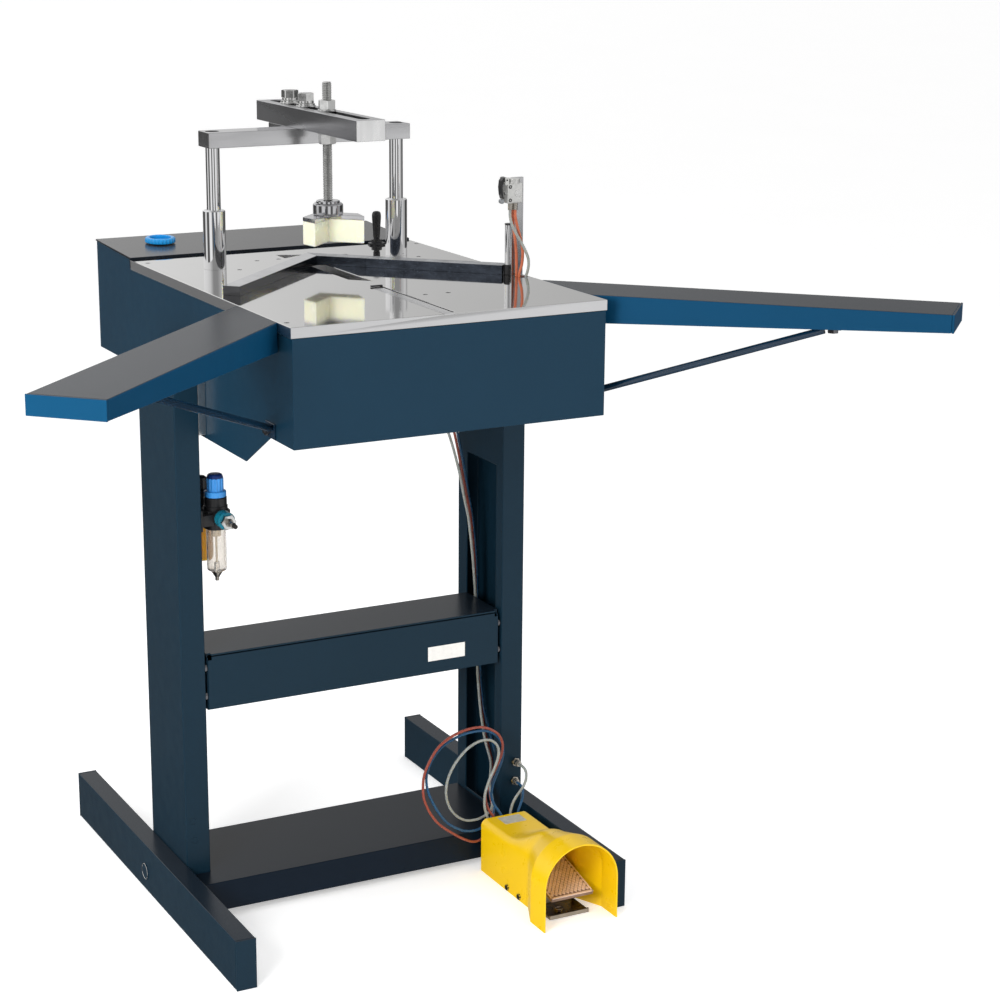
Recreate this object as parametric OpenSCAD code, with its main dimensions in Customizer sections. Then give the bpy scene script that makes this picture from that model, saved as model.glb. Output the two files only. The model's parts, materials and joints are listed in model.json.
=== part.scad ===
// Floor standing V-nail joiner for mitred picture frame corners.
// Millimetres, +Z up, the operator stands at -Y. The origin is on the floor, under the middle of the
// object's outline. Most pieces are placed from the front edge of the table plate.

/* [Table] */
// Width of the table plate
plate_w = 452; // [440:2:460]
// Depth of the table plate
plate_d = 597; // [590:1:600]
// Thickness of the table plate
plate_t = 14.5; // [12:0.5:16]
// Height of the working surface above the floor
table_h = 900; // [890:1:910]
// Height of the fence bars
fence_h = 13; // [10:1:16]
// Thickness of the fence bars, front to back
fence_t = 24.5; // [20:0.5:28]

/* [Cabinet] */
// Thickness of the cabinet sheet
sheet = 2.5; // [2:0.5:3]
// Width over the cabinet side walls
cab_w = 449; // [446:1:450]
// Height of the underside of the front of the cabinet
cab_low = 744; // [738:1:750]
// Height of the underside of the cabinet over the posts
cab_deep = 694; // [690:1:698]

/* [Stand] */
// Height of the rectangular foot tubes
foot_h = 72; // [68:1:76]
// Width of the foot tubes
foot_w = 29; // [26:1:32]
// Length of the foot tubes
foot_l = 673; // [640:1:700]
// Half the distance between the inner faces of the feet
foot_in = 272; // [272:1:272]
// Width of a post, side to side
post_w = 36; // [34:1:36]
// Depth of a post, front to back
post_d = 144; // [140:1:146]
// Height of the shelf surface
shelf_z = 56; // [52:1:58]

/* [Wings] */
// Width of a wing across its top
wing_w = 96.9; // [90:0.1:100]
// Depth of a wing at the table end
wing_in_d = 40; // [36:1:42]
// Depth of a wing at the outer end
wing_out_d = 24; // [22:1:34]

/* [Clamp] */
// Diameter of the two guide rods
rod_d = 20; // [18:1:20]
// Outer diameter of the guide sleeves
sleeve_d = 32; // [30:1:34]
// Half the distance between the guide rods
rod_x = 143; // [143:1:143]
// Distance of the guide rods behind the front edge of the plate
rod_y = 470; // [470:1:470]
// Diameter of the threaded spindle
spindle_d = 14; // [14:1:14]

/* [Hoses] */
// Outer diameter of the air hoses
hose_d = 4; // [3:0.5:6]

/* [Hidden] */
$fn = 48;
yo = -230.25;              // front edge of the plate in the model frame
pz = table_h - plate_t; // underside of the plate
cw = cab_w / 2;
pin_x = foot_in - post_w;
py = 304;               // front face of the posts
eps = 0.01;

// places a piece given from the front edge of the plate
module P() { translate([0, yo, 0]) children(); }
module sym() { children(); mirror([1, 0, 0]) children(); }
// extrudes a Y-Z outline along X from x0 to x1
module yz(x0, x1) { translate([x0, 0, 0]) rotate([90, 0, 90]) linear_extrude(x1 - x0) children(); }
// cylinders along X and Y
module cx(r, h) { rotate([0, 90, 0]) cylinder(r = r, h = h); }
module cy(r, h) { rotate([-90, 0, 0]) cylinder(r = r, h = h); }
// round bar between two points
module bar(p, q, r) {
  d = q - p; l = norm(d);
  translate(p) rotate([0, acos(d.z / l), atan2(d.y, d.x)]) cylinder(r = r, h = l);
}
module hexz(af, h) { cylinder(d = af / cos(30), h = h, $fn = 6); }

// --- swept hoses -------------------------------------------------------
function unit(v) = v / norm(v);
function cat(a, b, c, d, t) = 0.5 * (2 * b + (c - a) * t + (2 * a - 5 * b + 4 * c - d) * t * t + (3 * b - a - 3 * c + d) * t * t * t);
function smooth(p, m) = let (n = len(p) - 1) [for (i = [0:n - 1]) for (k = [0:m - 1])
    cat(p[max(i - 1, 0)], p[i], p[i + 1], p[min(i + 2, n)], k / m), p[n]];
function tangents(p) = let (n = len(p) - 1) [for (i = [0:n]) unit(i == 0 ? p[1] - p[0] : i == n ? p[n] - p[n - 1]
    : unit(p[i + 1] - p[i]) + unit(p[i] - p[i - 1]))];
function normals(t) = [for (i = 0, v = unit(cross(t[0], [0.3, 1, 0.1])); i < len(t);
    i = i + 1, v = i < len(t) ? unit(v - (v * t[i]) * t[i]) : v) v];
module hose(route, d = hose_d, m = 2, s = 8) {
  p = smooth(route, m); t = tangents(p); v = normals(t); n = len(p) - 1;
  polyhedron(points = [for (i = [0:n]) let (w = cross(t[i], v[i])) for (k = [0:s - 1])
      p[i] + d / 2 * (cos(360 * k / s) * v[i] + sin(360 * k / s) * w)],
    faces = concat([[for (k = [0:s - 1]) k]], [[for (k = [s - 1:-1:0]) n * s + k]],
      [for (i = [0:n - 1]) for (k = [0:s - 1]) [i * s + k, (i + 1) * s + k, i * s + (k + 1) % s]],
      [for (i = [0:n - 1]) for (k = [0:s - 1]) [(i + 1) * s + k, (i + 1) * s + (k + 1) % s, i * s + (k + 1) % s]]));
}
// hose routes, from the front edge of the plate
orange_route = [[196, 400, 684], [196, 400, 668], [206, 400, 632], [218, 400, 576], [226, 400, 537], [233, 400, 500], [240, 400, 430],
  [242, 400, 373], [244, 400, 310], [246, 399, 261], [250, 394, 198], [252, 380, 152], [252, 362, 122], [244, 348, 106], [233, 334, 95],
  [226, 318, 84], [220, 300, 75], [212, 280, 69], [200, 262, 62], [186, 253, 52], [172, 251, 46], [156, 250, 48], [130, 250, 64], [101, 252, 89],
  [84, 255, 121], [83, 260, 148], [92, 265, 172], [114, 268, 200], [147, 270, 215], [184, 272, 217], [211, 274, 204],
  [222, 274, 187], [221, 273, 168], [210, 270, 149], [197, 266, 132], [187, 260, 112], [188, 254, 94], [195, 251, 81], [200, 250, 70]];
blue_route = [[208, 407, 684], [208, 407, 668], [214, 407, 632], [223, 407, 590], [232, 407, 540], [240, 407, 495], [247, 408, 430],
  [250, 408, 373], [252, 408, 310], [254, 407, 261], [258, 403, 200], [262, 391, 160], [262, 375, 136], [259, 359, 121], [249, 346, 110],
  [239, 334, 102], [227, 320, 92], [222, 307, 86], [218, 294, 81], [213, 281, 77], [204, 270, 72], [192, 262, 67], [178, 257, 62], [162, 256, 61],
  [144, 256, 66], [120, 257, 83], [100, 259, 114], [91, 264, 144], [97, 269, 170], [119, 274, 194], [155, 276, 208], [192, 278, 208], [214, 280, 197],
  [226, 281, 179], [226, 279, 160], [217, 276, 141], [206, 271, 124], [200, 265, 108], [201, 259, 96], [206, 253, 86], [210, 250.4, 78], [212, 250, 70]];
clear_route = [[184, 393, 684], [184, 393, 668], [188, 393, 650], [198, 393, 620], [210, 393, 576], [218, 393, 537], [226, 393, 500], [234, 393, 430],
  [238, 393, 373], [240, 393, 310], [241, 391, 261], [244, 386, 198], [245, 372, 152], [245, 354, 126], [237, 338, 113], [226, 320, 101],
  [220, 302, 93], [213, 286, 88], [204, 272, 84], [195, 266, 80], [185, 263, 77], [171, 262, 75], [153, 262, 78], [135, 262, 92], [124, 263, 115],
  [125, 265, 141], [137, 266, 166], [158, 267, 187], [180, 267, 197], [198, 266, 196],
  [209, 265, 186], [211, 264, 172], [204, 262, 154], [193, 259, 136], [184, 255, 117], [181, 251, 99], [185, 250, 82], [188, 250, 70]];
post_a_route = [[261, 290, 138], [261, 280, 138], [260, 270, 136.5], [257, 261, 132.5], [252, 254, 126], [245, 250.4, 117.6], [237, 250, 108.6], [230, 250, 99], [226, 250, 89], [224, 250, 79], [224, 250, 70]];
post_b_route = [[259, 292, 108], [259, 283, 107.6], [257.6, 274, 105.6], [254.4, 266, 101.6], [249.4, 259, 96], [243.6, 254, 89], [239.4, 251.2, 83.6], [237, 250.2, 77.4], [236, 250, 70]];
valve_a_route = [[203.5, 214.5, 994], [203.5, 214.5, 985.5], [207, 214.2, 969.5], [211.5, 212.8, 953], [214.6, 212.3, 935], [214, 213, 918], [211, 214, 906], [210, 214, 896], [210, 214, 884]];
valve_b_route = [[195.5, 214.5, 994], [195.5, 214.5, 985.5], [197, 212.4, 975], [201.4, 209.6, 963.5], [208, 207.2, 951], [214.6, 205.6, 938.5], [219.4, 205.2, 927], [220.8, 206, 917], [220.2, 207.8, 908], [218.6, 209.8, 900], [217.6, 210.6, 893], [217, 211.2, 884]];
valve_c_route = [[203.5, 221.5, 994], [203.5, 221.5, 985.5], [204.5, 221, 969], [206.8, 220.4, 952], [208.6, 220.2, 935], [209.4, 220.4, 919], [209.6, 220.4, 908], [209.6, 220.4, 896], [209.6, 220.4, 884]];

// --- stand --------------------------------------------------------------
foot_y = 42;
bolt_y = [330, 420];
bolt_z = [712, 776];
module feet() color([0.09, 0.2, 0.32]) P() sym() difference() {
  translate([foot_in, foot_y + 3, 0]) cube([foot_w, foot_l - 6, foot_h]);
  translate([foot_in + 2.5, foot_y, 2.5]) cube([foot_w - 5, foot_l, foot_h - 5]);
  translate([foot_in + 20, 403, 29.5]) cx(11, 20);
}
// closing plates of the feet and of the wings
module end_plates() color([0.1, 0.22, 0.34]) P() sym() {
  rotate([0, 0, -45]) translate([wl - 3, wy0, table_h - wing_out_d]) cube([3, wing_w, wing_out_d]);
  for (y = [foot_y, foot_y + foot_l - 3]) translate([foot_in, y, 0]) cube([foot_w, 3, foot_h]);
  // plug in the access hole of the foot
  translate([foot_in + foot_w - 2.5, 403, 29.5]) { cx(11, 2.5); translate([2.5, 0, 0]) cx(12.5, 1.2); }
}
module posts() color([0.1, 0.2, 0.3]) P() sym() difference() {
  translate([pin_x, py, 3]) cube([post_w, post_d, 797]);
  translate([pin_x + 3, py + 3, 0]) cube([post_w - 6, post_d - 6, 797]);
  translate([pin_x - 1, py + 22, 60]) cube([6, 94, 541]);
  for (y = bolt_y, z = bolt_z) translate([pin_x - 1, y, z]) cx(4.5, 6);
  for (z = [320, 362]) translate([pin_x - 1, 316, z]) cx(4.5, 6);
  translate([foot_in - 11, py - 1, 138]) cy(5, 6);
  translate([foot_in - 13, py - 1, 108]) cy(5, 6);
}
module post_shims() color([0.75, 0.76, 0.77]) P() sym() difference() {
  translate([cw, py + 2, 700]) cube([pin_x - cw, post_d - 8, 90]);
  for (y = bolt_y, z = bolt_z) translate([cw - 1, y, z]) cx(4.5, 20);
}
// hexagon bolts of posts, tool box, wings and struts, each with its nut
module hexbolt_x(x0, x1, af = 13, d = 8, k = 5.5) {
  translate([x0 - k, 0, 0]) rotate([0, 90, 0]) hexz(af, k);
  translate([x0 - eps, 0, 0]) cx(d / 2, x1 - x0 + 9);
  translate([x1, 0, 0]) rotate([0, 90, 0]) hexz(af, 6.5);
}
module frame_bolts() color([0.72, 0.72, 0.72]) P() sym() {
  for (y = bolt_y, z = bolt_z) translate([0, y, z]) hexbolt_x(cw - sheet, pin_x + 3);
  for (z = [320, 362]) translate([0, 316, z]) {
    hexbolt_x(230, pin_x + 3);
    translate([232, 0, 0]) rotate([0, 90, 0]) difference() { cylinder(d = 17, h = pin_x - 232); translate([0, 0, -1]) cylinder(d = 8, h = 9); }
  }
  for (y = [78, 140]) translate([0, y, 873]) {
    hexbolt_x(cw - sheet, 228.5);
    translate([cw, 0, 0]) rotate([0, 90, 0]) difference() { cylinder(d = 17, h = 226 - cw); translate([0, 0, -1]) cylinder(d = 8, h = 9); }
  }
  // strut bolts at the cabinet, with a domed head outside
  translate([cw - sheet, 75, 756]) { translate([-6.5, 0, 0]) rotate([0, 90, 0]) hexz(13, 6.5); translate([-6.5, 0, 0]) cx(4, 12); }
  translate([cw + 3, 75, 756]) rotate([0, 90, 0]) { hexz(13, 5); cylinder(d = 9, h = 7); }
  // strut bolts under the wings
  translate([wing_bolt.x, wing_bolt.y, 0]) { translate([0, 0, wb_z - 3 - 5]) hexz(13, 5); translate([0, 0, wb_z - 5]) cylinder(d = 8, h = 14); translate([0, 0, wb_z + 2.4]) hexz(13, 6); }
}
module shelf() color([0.12, 0.2, 0.28]) P() {
  difference() {
    union() {
      translate([-foot_in, 262, shelf_z - sheet]) cube([2 * foot_in, py - 262, sheet]);
      translate([-pin_x, py - eps, shelf_z - sheet]) cube([2 * pin_x, post_d, sheet]);
      translate([-foot_in, 262, 12]) cube([2 * foot_in, sheet, shelf_z - 12]);
      translate([-pin_x, py + post_d - sheet, 12]) cube([2 * pin_x, sheet, shelf_z - 12]);
    }
    // bend reliefs in the front corners
    sym() translate([foot_in - 6, 261, shelf_z - 10]) cube([7, 9, 11]);
  }
}
box_x = 232; box_y0 = 306; box_y1 = 409; box_z0 = 299.6; box_z1 = 383;
module tool_box() color([0.11, 0.2, 0.3]) P() difference() {
  union() {
    translate([-box_x, box_y0, box_z1 - 2.5]) cube([2 * box_x, box_y1 - box_y0, 2.5]);
    translate([-box_x, box_y0 + 3, box_z0]) cube([2 * box_x, box_y1 - box_y0 - 3, 2]);
    translate([-box_x, box_y1 - 2, box_z0]) cube([2 * box_x, 2, box_z1 - box_z0]);
    sym() translate([box_x - 2, box_y0 + 3, box_z0]) cube([2, box_y1 - box_y0 - 3, box_z1 - box_z0]);
  }
  sym() translate([box_x - 6, box_y0 - 1, box_z1 - 6]) cube([7, 7, 7]);
  sym() for (z = [320, 362]) translate([box_x - 5, 316, z]) cx(4.5, 8);
}
// the drawer's side walls stand clear of the bolt heads
module drawer() color([0.11, 0.21, 0.31]) P() {
  difference() {
    translate([-box_x + 1, box_y0, box_z0 + 1]) cube([2 * box_x - 2, 2.5, 78.4]);
    sym() translate([box_x - 7, box_y0 - 1, box_z1 - 9]) cube([8, 5, 9]);
  }
  difference() {
    translate([-220, box_y0 + 2.5 - eps, box_z0 + 2.6]) cube([440, 94, 64]);
    translate([-218.5, box_y0 + 2.5 + 1, box_z0 + 4.1]) cube([437, 91.5, 70]);
  }
}

// --- cabinet ------------------------------------------------------------
// side sheet whose lower edge steps down from f on
module cab_side(x, f) yz(x, x + sheet) polygon([[0, cab_low], [f, cab_low], [f + 86, cab_deep], [589, cab_deep],
      [675, cab_low], [755, cab_low], [755, 907.5], [600.5, 900.5], [600.5, pz], [0, pz]]);
module cabinet() color([0.08, 0.2, 0.32]) P() difference() {
  union() {
    cab_side(-cw, 77);
    cab_side(cw - sheet, 110);
    translate([-cw, 0, cab_low]) cube([cab_w, sheet, pz - cab_low]);
    translate([-cw, 755 - sheet, cab_low]) cube([cab_w, sheet, 907.3 - cab_low]);
  }
  for (y = bolt_y, z = bolt_z) translate([-cw - 1, y, z]) cx(4.5, cab_w + 2);
  for (y = [78, 140]) translate([-cw - 1, y, 873]) cx(4.5, cab_w + 2);
  translate([-cw - 1, 75, 756]) cx(4.5, cab_w + 2);
}
module cabinet_pan() color([0.1, 0.16, 0.22]) P() difference() {
  yz(-cw + sheet, cw - sheet) polygon([[sheet, cab_low], [240, cab_low], [300, cab_deep], [589, cab_deep], [675, cab_low], [752.5, cab_low],
    [752.5, cab_low + 2], [674.5, cab_low + 2], [588.5, cab_deep + 2], [300.5, cab_deep + 2], [240.5, cab_low + 2], [sheet, cab_low + 2]]);
  translate([196, 400, cab_deep - 5]) cylinder(d = 10, h = 20);
  translate([208, 407, cab_deep - 5]) cylinder(d = 10, h = 20);
  translate([184, 393, cab_deep - 5]) cylinder(d = 10, h = 20);
  sym() translate([cw - 10, 75, cab_low - 5]) cube([8, 16, 10]);
}
holes = [[-213, 558], [-116, 444], [-63, 509], [-29, 509], [-3, 505], [77, 507], [218, 556], [165, 440], [197, 375], [29, 142], [63, 142], [-217, 34]];
module table_plate() color([0.78, 0.78, 0.79]) P() difference() {
  translate([-plate_w / 2, 0, pz]) cube([plate_w, plate_d, plate_t]);
  for (h = holes) translate([h.x, h.y, pz - 1]) cylinder(d = 7, h = plate_t + 2);
  translate([0, 0, pz - 1]) linear_extrude(plate_t + 2) polygon([[-17, 547], [23, 534], [-17, 513]]);
  translate([0, 0, pz - 1]) linear_extrude(plate_t + 2) polygon([[-12.6, 433], [12.6, 433], [12.6, 272], [-12.6, 297]]);
  // recess of the scale and groove of the pointer
  translate([-14, -1, table_h - 1.2]) cube([14, 225, 3]);
  translate([1.5, 8, pz - 1]) cube([4, 226, plate_t + 2]);
  for (x = [-rod_x, rod_x]) translate([x, rod_y, pz - 1]) cylinder(d = sleeve_d - 2, h = plate_t + 2);
  translate([208, 240, pz + 4]) cylinder(d = 8, h = 20);
  translate([213, 214.5, pz - 1]) cylinder(d = 21, h = plate_t + 2);
  translate([160, 575, pz + 4]) cylinder(d = 8, h = 20);
}
module scale_strip() color([0.7, 0.7, 0.7]) P() {
  difference() {
    translate([-14, 0, table_h - 1.2]) cube([14, 224, 1.2]);
    for (i = [0:20]) translate([-14.5, 6 + i * 10, table_h - 0.3]) cube([i % 5 == 0 ? 8 : 5, 0.7, 1]);
  }
}
module rear_cover() color([0.5, 0.5, 0.5]) P() difference() {
  union() {
    yz(-plate_w / 2, plate_w / 2) polygon([[598, 903], [755, 910], [755, 907.5], [600.5, 900.5], [600.5, 888], [598, 888]]);
  }
  translate([-146, 690, 907.1]) rotate([2.55, 0, 0]) translate([0, 0, -10]) cylinder(r = 10.5, h = 20);
}
// wing along its own axes: X outwards, Y across, seen from the right side
wy0 = 189.5; wl = 606;
wing_bolt = [470, -165];
// height of the underside of a wing at the strut bolt
wb_z = table_h - wing_in_d + (wing_in_d - wing_out_d) * ((470 + 165) / sqrt(2) - 82) / (wl - 82);
module wing_solid(o) {
  intersection() {
    rotate([0, 0, -45]) translate([0, wy0 + o, 0]) rotate([90, 0, 0]) mirror([0, 0, 1]) linear_extrude(wing_w - 2 * o)
      polygon([[-60, table_h - o], [wl - 3, table_h - o], [wl - 3, table_h - wing_out_d + o], [82, table_h - wing_in_d + o], [-60, table_h - wing_in_d + o]]);
    translate([226 + o * 1.25, -600, 700]) cube([600, 900, 300]);
  }
}
module wings() color([0.1, 0.22, 0.34]) P() sym() difference() {
  wing_solid(0);
  difference() {
    wing_solid(2);
    translate([0, -900, 0]) cube([228.5, 2000, 2000]);
  }
  // the tube is open at the outer end, under the cap
  rotate([0, 0, -45]) translate([wl - 10, wy0 + 2, table_h - wing_out_d + 2.2]) cube([20, wing_w - 4, wing_out_d - 4.2]);
  for (y = [78, 140]) translate([220, y, 873]) cx(4.5, 12);
  translate([wing_bolt.x, wing_bolt.y, 860]) cylinder(d = 9, h = 15);
}
module struts() color([0.1, 0.22, 0.34]) P() sym() {
  a = [cw + 4.9, 66, 760]; b = [462, -157, wb_z - 5];
  difference() {
    union() {
      bar(a, b, 4.8);
      translate([cw, 57, 746]) cube([3, 29, 20]);
      translate([wing_bolt.x, wing_bolt.y, wb_z - 3]) rotate([0, 0, -45]) translate([-24, -9, 0]) cube([36, 18, 3]);
    }
    translate([cw - 1, 75, 756]) cx(4.5, 5);
    translate([wing_bolt.x, wing_bolt.y, wb_z - 3.5]) cylinder(d = 9, h = 10);
    translate([cw + 3, 75, 756]) cx(8.5, 12);
    translate([wing_bolt.x, wing_bolt.y, wb_z - 3 - 12]) cylinder(d = 17, h = 12);
    wing_solid(0);
    translate([0, -600, 0]) cube([cw, 900, 900]);
  }
}

// --- fence ---------------------------------------------------------------
fa = 437;                         // apex of the fence
fo = fence_t / sqrt(2);
module fence_left() color([0.75, 0.75, 0.76]) P() translate([0, 0, table_h]) linear_extrude(fence_h)
  polygon([[0, fa], [-197, fa - 197], [-197 - fo, fa - 197 + fo], [0, fa + 2 * fo]]);
module fence_right() color([0.3, 0.3, 0.32]) P() translate([0, 0, table_h]) linear_extrude(fence_h)
  polygon([[53, fa - 53], [197, fa - 197], [197 + fo, fa - 197 + fo], [53 + fo, fa - 53 + fo]]);
module fence_insert() color([0.35, 0.35, 0.36]) P() translate([0, 0, table_h]) linear_extrude(fence_h)
  polygon([[0, fa], [53, fa - 53], [53 + fo, fa - 53 + fo], [0, fa + 2 * fo]]);

// --- clamp ----------------------------------------------------------------
module guide_sleeves() color([0.82, 0.82, 0.83]) P() for (x = [-rod_x, rod_x]) translate([x, rod_y, 0]) difference() {
  union() {
    translate([0, 0, 850]) cylinder(d = sleeve_d - 2, h = 70);
    translate([0, 0, pz - 8]) cylinder(d = 50, h = 8);
    translate([0, 0, table_h]) cylinder(d = sleeve_d, h = 983.5 - table_h);
  }
  translate([0, 0, 840]) cylinder(r = rod_d / 2 + 0.05, h = 200);
}
module guide_rods() color([0.88, 0.88, 0.89]) P() for (x = [-rod_x, rod_x]) translate([x, rod_y, 0]) difference() {
  translate([0, 0, 742]) cylinder(d = rod_d, h = 1091 - 742);
  translate([0, 0, 1083]) cylinder(d = 9, h = 10);
}
module yoke() color([0.45, 0.46, 0.48]) P() difference() {
  translate([-165, rod_y - 18, 742]) cube([330, 36, 22]);
  for (x = [-rod_x, rod_x]) translate([x, rod_y, 741]) cylinder(d = rod_d, h = 24);
  translate([0, rod_y, 741]) cylinder(d = 16, h = 24);
}
module cross_bar() color([0.72, 0.72, 0.73]) P() difference() {
  union() {
    translate([-156, 449, 1072]) cube([312, 42, 22]);
    translate([-21, 490, 1080]) cube([42, 68, 14]);
  }
  for (x = [-rod_x, rod_x]) translate([x, rod_y, 1071]) cylinder(d = rod_d, h = 24);
  for (y = [468, 526]) translate([0, y, 1070]) cylinder(d = 14, h = 26);
}
slot_y0 = 262; slot_y1 = 588;
module slotted_bar() color([0.7, 0.7, 0.71]) P() difference() {
  translate([-21.5, 248, 1094]) cube([43, 354, 28.5]);
  translate([-8, slot_y0 + 8, 1093]) cube([16, slot_y1 - slot_y0 - 16, 31]);
  for (y = [slot_y0 + 8, slot_y1 - 8]) translate([0, y, 1093]) cylinder(d = 16, h = 31);
}
module reach_bolts() color([0.75, 0.75, 0.75]) P() for (y = [468, 526]) translate([0, y, 0]) {
  translate([0, 0, 1080]) cylinder(d = 14, h = 52);
  // two flat washers, a spring washer and the head
  translate([0, 0, 1122.5]) cylinder(d = 28, h = 2.5);
  translate([0, 0, 1125]) cylinder(d = 26, h = 2.5);
  translate([0, 0, 1127.5]) cylinder(d = 23, h = 4);
  translate([0, 0, 1131.5]) rotate([0, 0, y == 468 ? 10 : 32]) hexz(22, 11);
}
sp_y = 394;
module spindle() color([0.6, 0.6, 0.6]) P() translate([0, sp_y, 0]) {
  translate([0, 0, 984]) cylinder(d = spindle_d, h = 1163 - 984);
}
module spindle_nuts() color([0.75, 0.75, 0.73]) P() translate([0, sp_y, 0]) difference() {
  union() {
    translate([0, 0, 1122.5]) cylinder(d = 26, h = 2.5);
    translate([0, 0, 1125]) rotate([0, 0, 14]) hexz(22, 13);
    translate([0, 0, 1091.5]) cylinder(d = 28, h = 2.5);
    translate([0, 0, 1077]) rotate([0, 0, 25]) hexz(22, 14.5);
  }
  translate([0, 0, 1070]) cylinder(r = spindle_d / 2 + 0.05, h = 80);
}
pad_pts = [[0, 428], [43, 385], [38, 354], [0, 392], [-38, 354], [-43, 385]];
module pad_head() color([0.55, 0.55, 0.55]) P() difference() {
  union() {
    translate([0, sp_y, 978 - eps]) cylinder(d = 43, h = 16);
    translate([0, sp_y, 994 - 2 * eps]) cylinder(d = 34, h = 4);
    translate([0, 0, 972]) linear_extrude(6) polygon(pad_pts);
  }
  translate([0, sp_y, 983.5]) cylinder(r = spindle_d / 2 + 0.05, h = 20);
}
module clamp_pad() color([0.9, 0.87, 0.7]) P() translate([0, 0, 939]) linear_extrude(33) polygon(pad_pts);
module clamp_cylinder() color([0.55, 0.57, 0.6]) P() translate([0, rod_y, 0]) difference() {
  union() {
    for (z = [792, pz - 12.5]) translate([-30, -30, z]) cube([60, 60, z == 792 ? 14 : 12.5]);
    translate([0, 0, 800]) cylinder(d = 56, h = 80);
    for (a = [-24, 24], b = [-24, 24]) translate([a, b, 800]) cylinder(d = 6, h = 80);
  }
  translate([0, 0, 806]) cylinder(d = 50, h = pz - 12.5 - 806);
  translate([0, 0, 780]) cylinder(r = 8.05, h = 40);
}
module clamp_piston() color([0.6, 0.6, 0.6]) P() translate([0, rod_y, 0]) {
  translate([0, 0, 742]) cylinder(d = 16, h = 120);
  translate([0, 0, 856]) cylinder(d = 49.9, h = 14);
}

// --- nail driver -------------------------------------------------------------
module carriage_rails() color([0.7, 0.7, 0.7]) P() {
  for (x = [-45, 45]) {
    translate([x, 140, 850]) cy(6, 316);
    for (y = [140, 440]) difference() {
      translate([x - 8, y, 840]) cube([16, 16, pz - 840]);
      translate([x, y - 1, 850]) cy(6, 20);
    }
  }
}
dr_y = 417;
module nail_carriage() color([0.25, 0.25, 0.27]) P() difference() {
  union() {
    translate([-58, 399, 838]) cube([116, 36, 24]);
    translate([-18, 407, 861]) cube([36, 24, 23]);
    translate([0, dr_y, 766]) cylinder(d = 38, h = 73);
    // magazine channel in front of the driver
    translate([-16, 222, 862]) cube([32, 186, 22]);
    // pointer that runs in the groove of the plate
    translate([2, 224, 883]) cube([3, 4, 19]);
    translate([-12, 224, 900.4]) cube([17, 4, 2]);
  }
  for (x = [-45, 45]) translate([x, 390, 850]) cy(6.05, 60);
  translate([-12.3, 415.2, 830]) cube([24.6, 3.6, 60]);
  translate([0, dr_y, 772]) cylinder(d = 32, h = 60);
  translate([0, dr_y, 830]) cylinder(d = 8.1, h = 26);
  translate([-12.3, 226, 866]) cube([24.6, 189, 19]);
}
module driver_blade() color([0.8, 0.8, 0.8]) P() {
  translate([-11, 415.5, 846]) cube([22, 3, 37.5]);
  translate([0, dr_y, 774]) cylinder(d = 31.9, h = 10);
  translate([0, dr_y, 783]) cylinder(d = 8, h = 53);
  translate([-7, 415.5, 835]) cube([14, 3, 12]);
}
module nail_pusher() color([0.75, 0.75, 0.72]) P() {
  translate([-12, 300, 866.3]) cube([24, 16, 16]);
  // strip of V nails ahead of the pusher
  translate([0, 316 - eps, 0]) rotate([-90, 0, 0]) linear_extrude(98.8) polygon([[-11, -882], [0, -871], [11, -882], [11, -880], [0, -869], [-11, -880]]);
}

// --- levers on the table ---------------------------------------------------
module switch_bases() color([0.08, 0.08, 0.09]) P() {
  // socket of the toggle lever
  translate([160, 575, pz + 4]) cylinder(d = 8, h = table_h - pz - 4);
  translate([160, 575, table_h]) difference() {
    union() { cylinder(d = 24, h = 3); translate([0, 0, 2.5]) cylinder(d = 16, h = 5.5); }
    translate([0, 0, 7]) sphere(r = 5.3);
    translate([0, 0, 5]) cylinder(d = 10.6, h = 10);
    // room for the ends of the lever's cross pin
    translate([-5.7, 0, 7]) cx(1.9, 11.4);
  }
  // regulator body under the rear cover
  translate([-146, 690, 907.1]) rotate([2.55, 0, 0]) {
    translate([0, 0, -52]) cylinder(d = 40, h = 48);
    translate([0, 0, -6]) cylinder(r = 10.4, h = 7);
    translate([0, 0, 0]) cylinder(r = 6, h = 3.4);
  }
}
module lever_grip() color([0.04, 0.04, 0.04]) P() translate([160, 575, table_h + 7]) {
  sphere(r = 5);
  translate([-5.2, 0, 0]) cx(1.5, 10.4);
  translate([0, 0, 2]) cylinder(d = 7, h = 8);
  translate([0, 0, 9]) cylinder(d1 = 8.5, d2 = 14, h = 21);
  translate([0, 0, 30 - eps]) cylinder(d = 14, h = 7);
  translate([0, 0, 37]) sphere(d = 14);
}
module rear_knob() color([0.15, 0.45, 0.75]) P() translate([-146, 690, 907.1]) rotate([2.55, 0, 0]) difference() {
  union() {
    translate([0, 0, 1.3]) cylinder(r = 22, h = 8.2);
    for (i = [0:23]) rotate([0, 0, i * 15]) translate([21.2, -1.2, 1.3]) cube([1.8, 2.4, 7.2]);
  }
  translate([0, 0, 4]) cylinder(r = 16, h = 10);
  translate([0, 0, 0]) cylinder(r = 6.05, h = 10);
}

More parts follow.
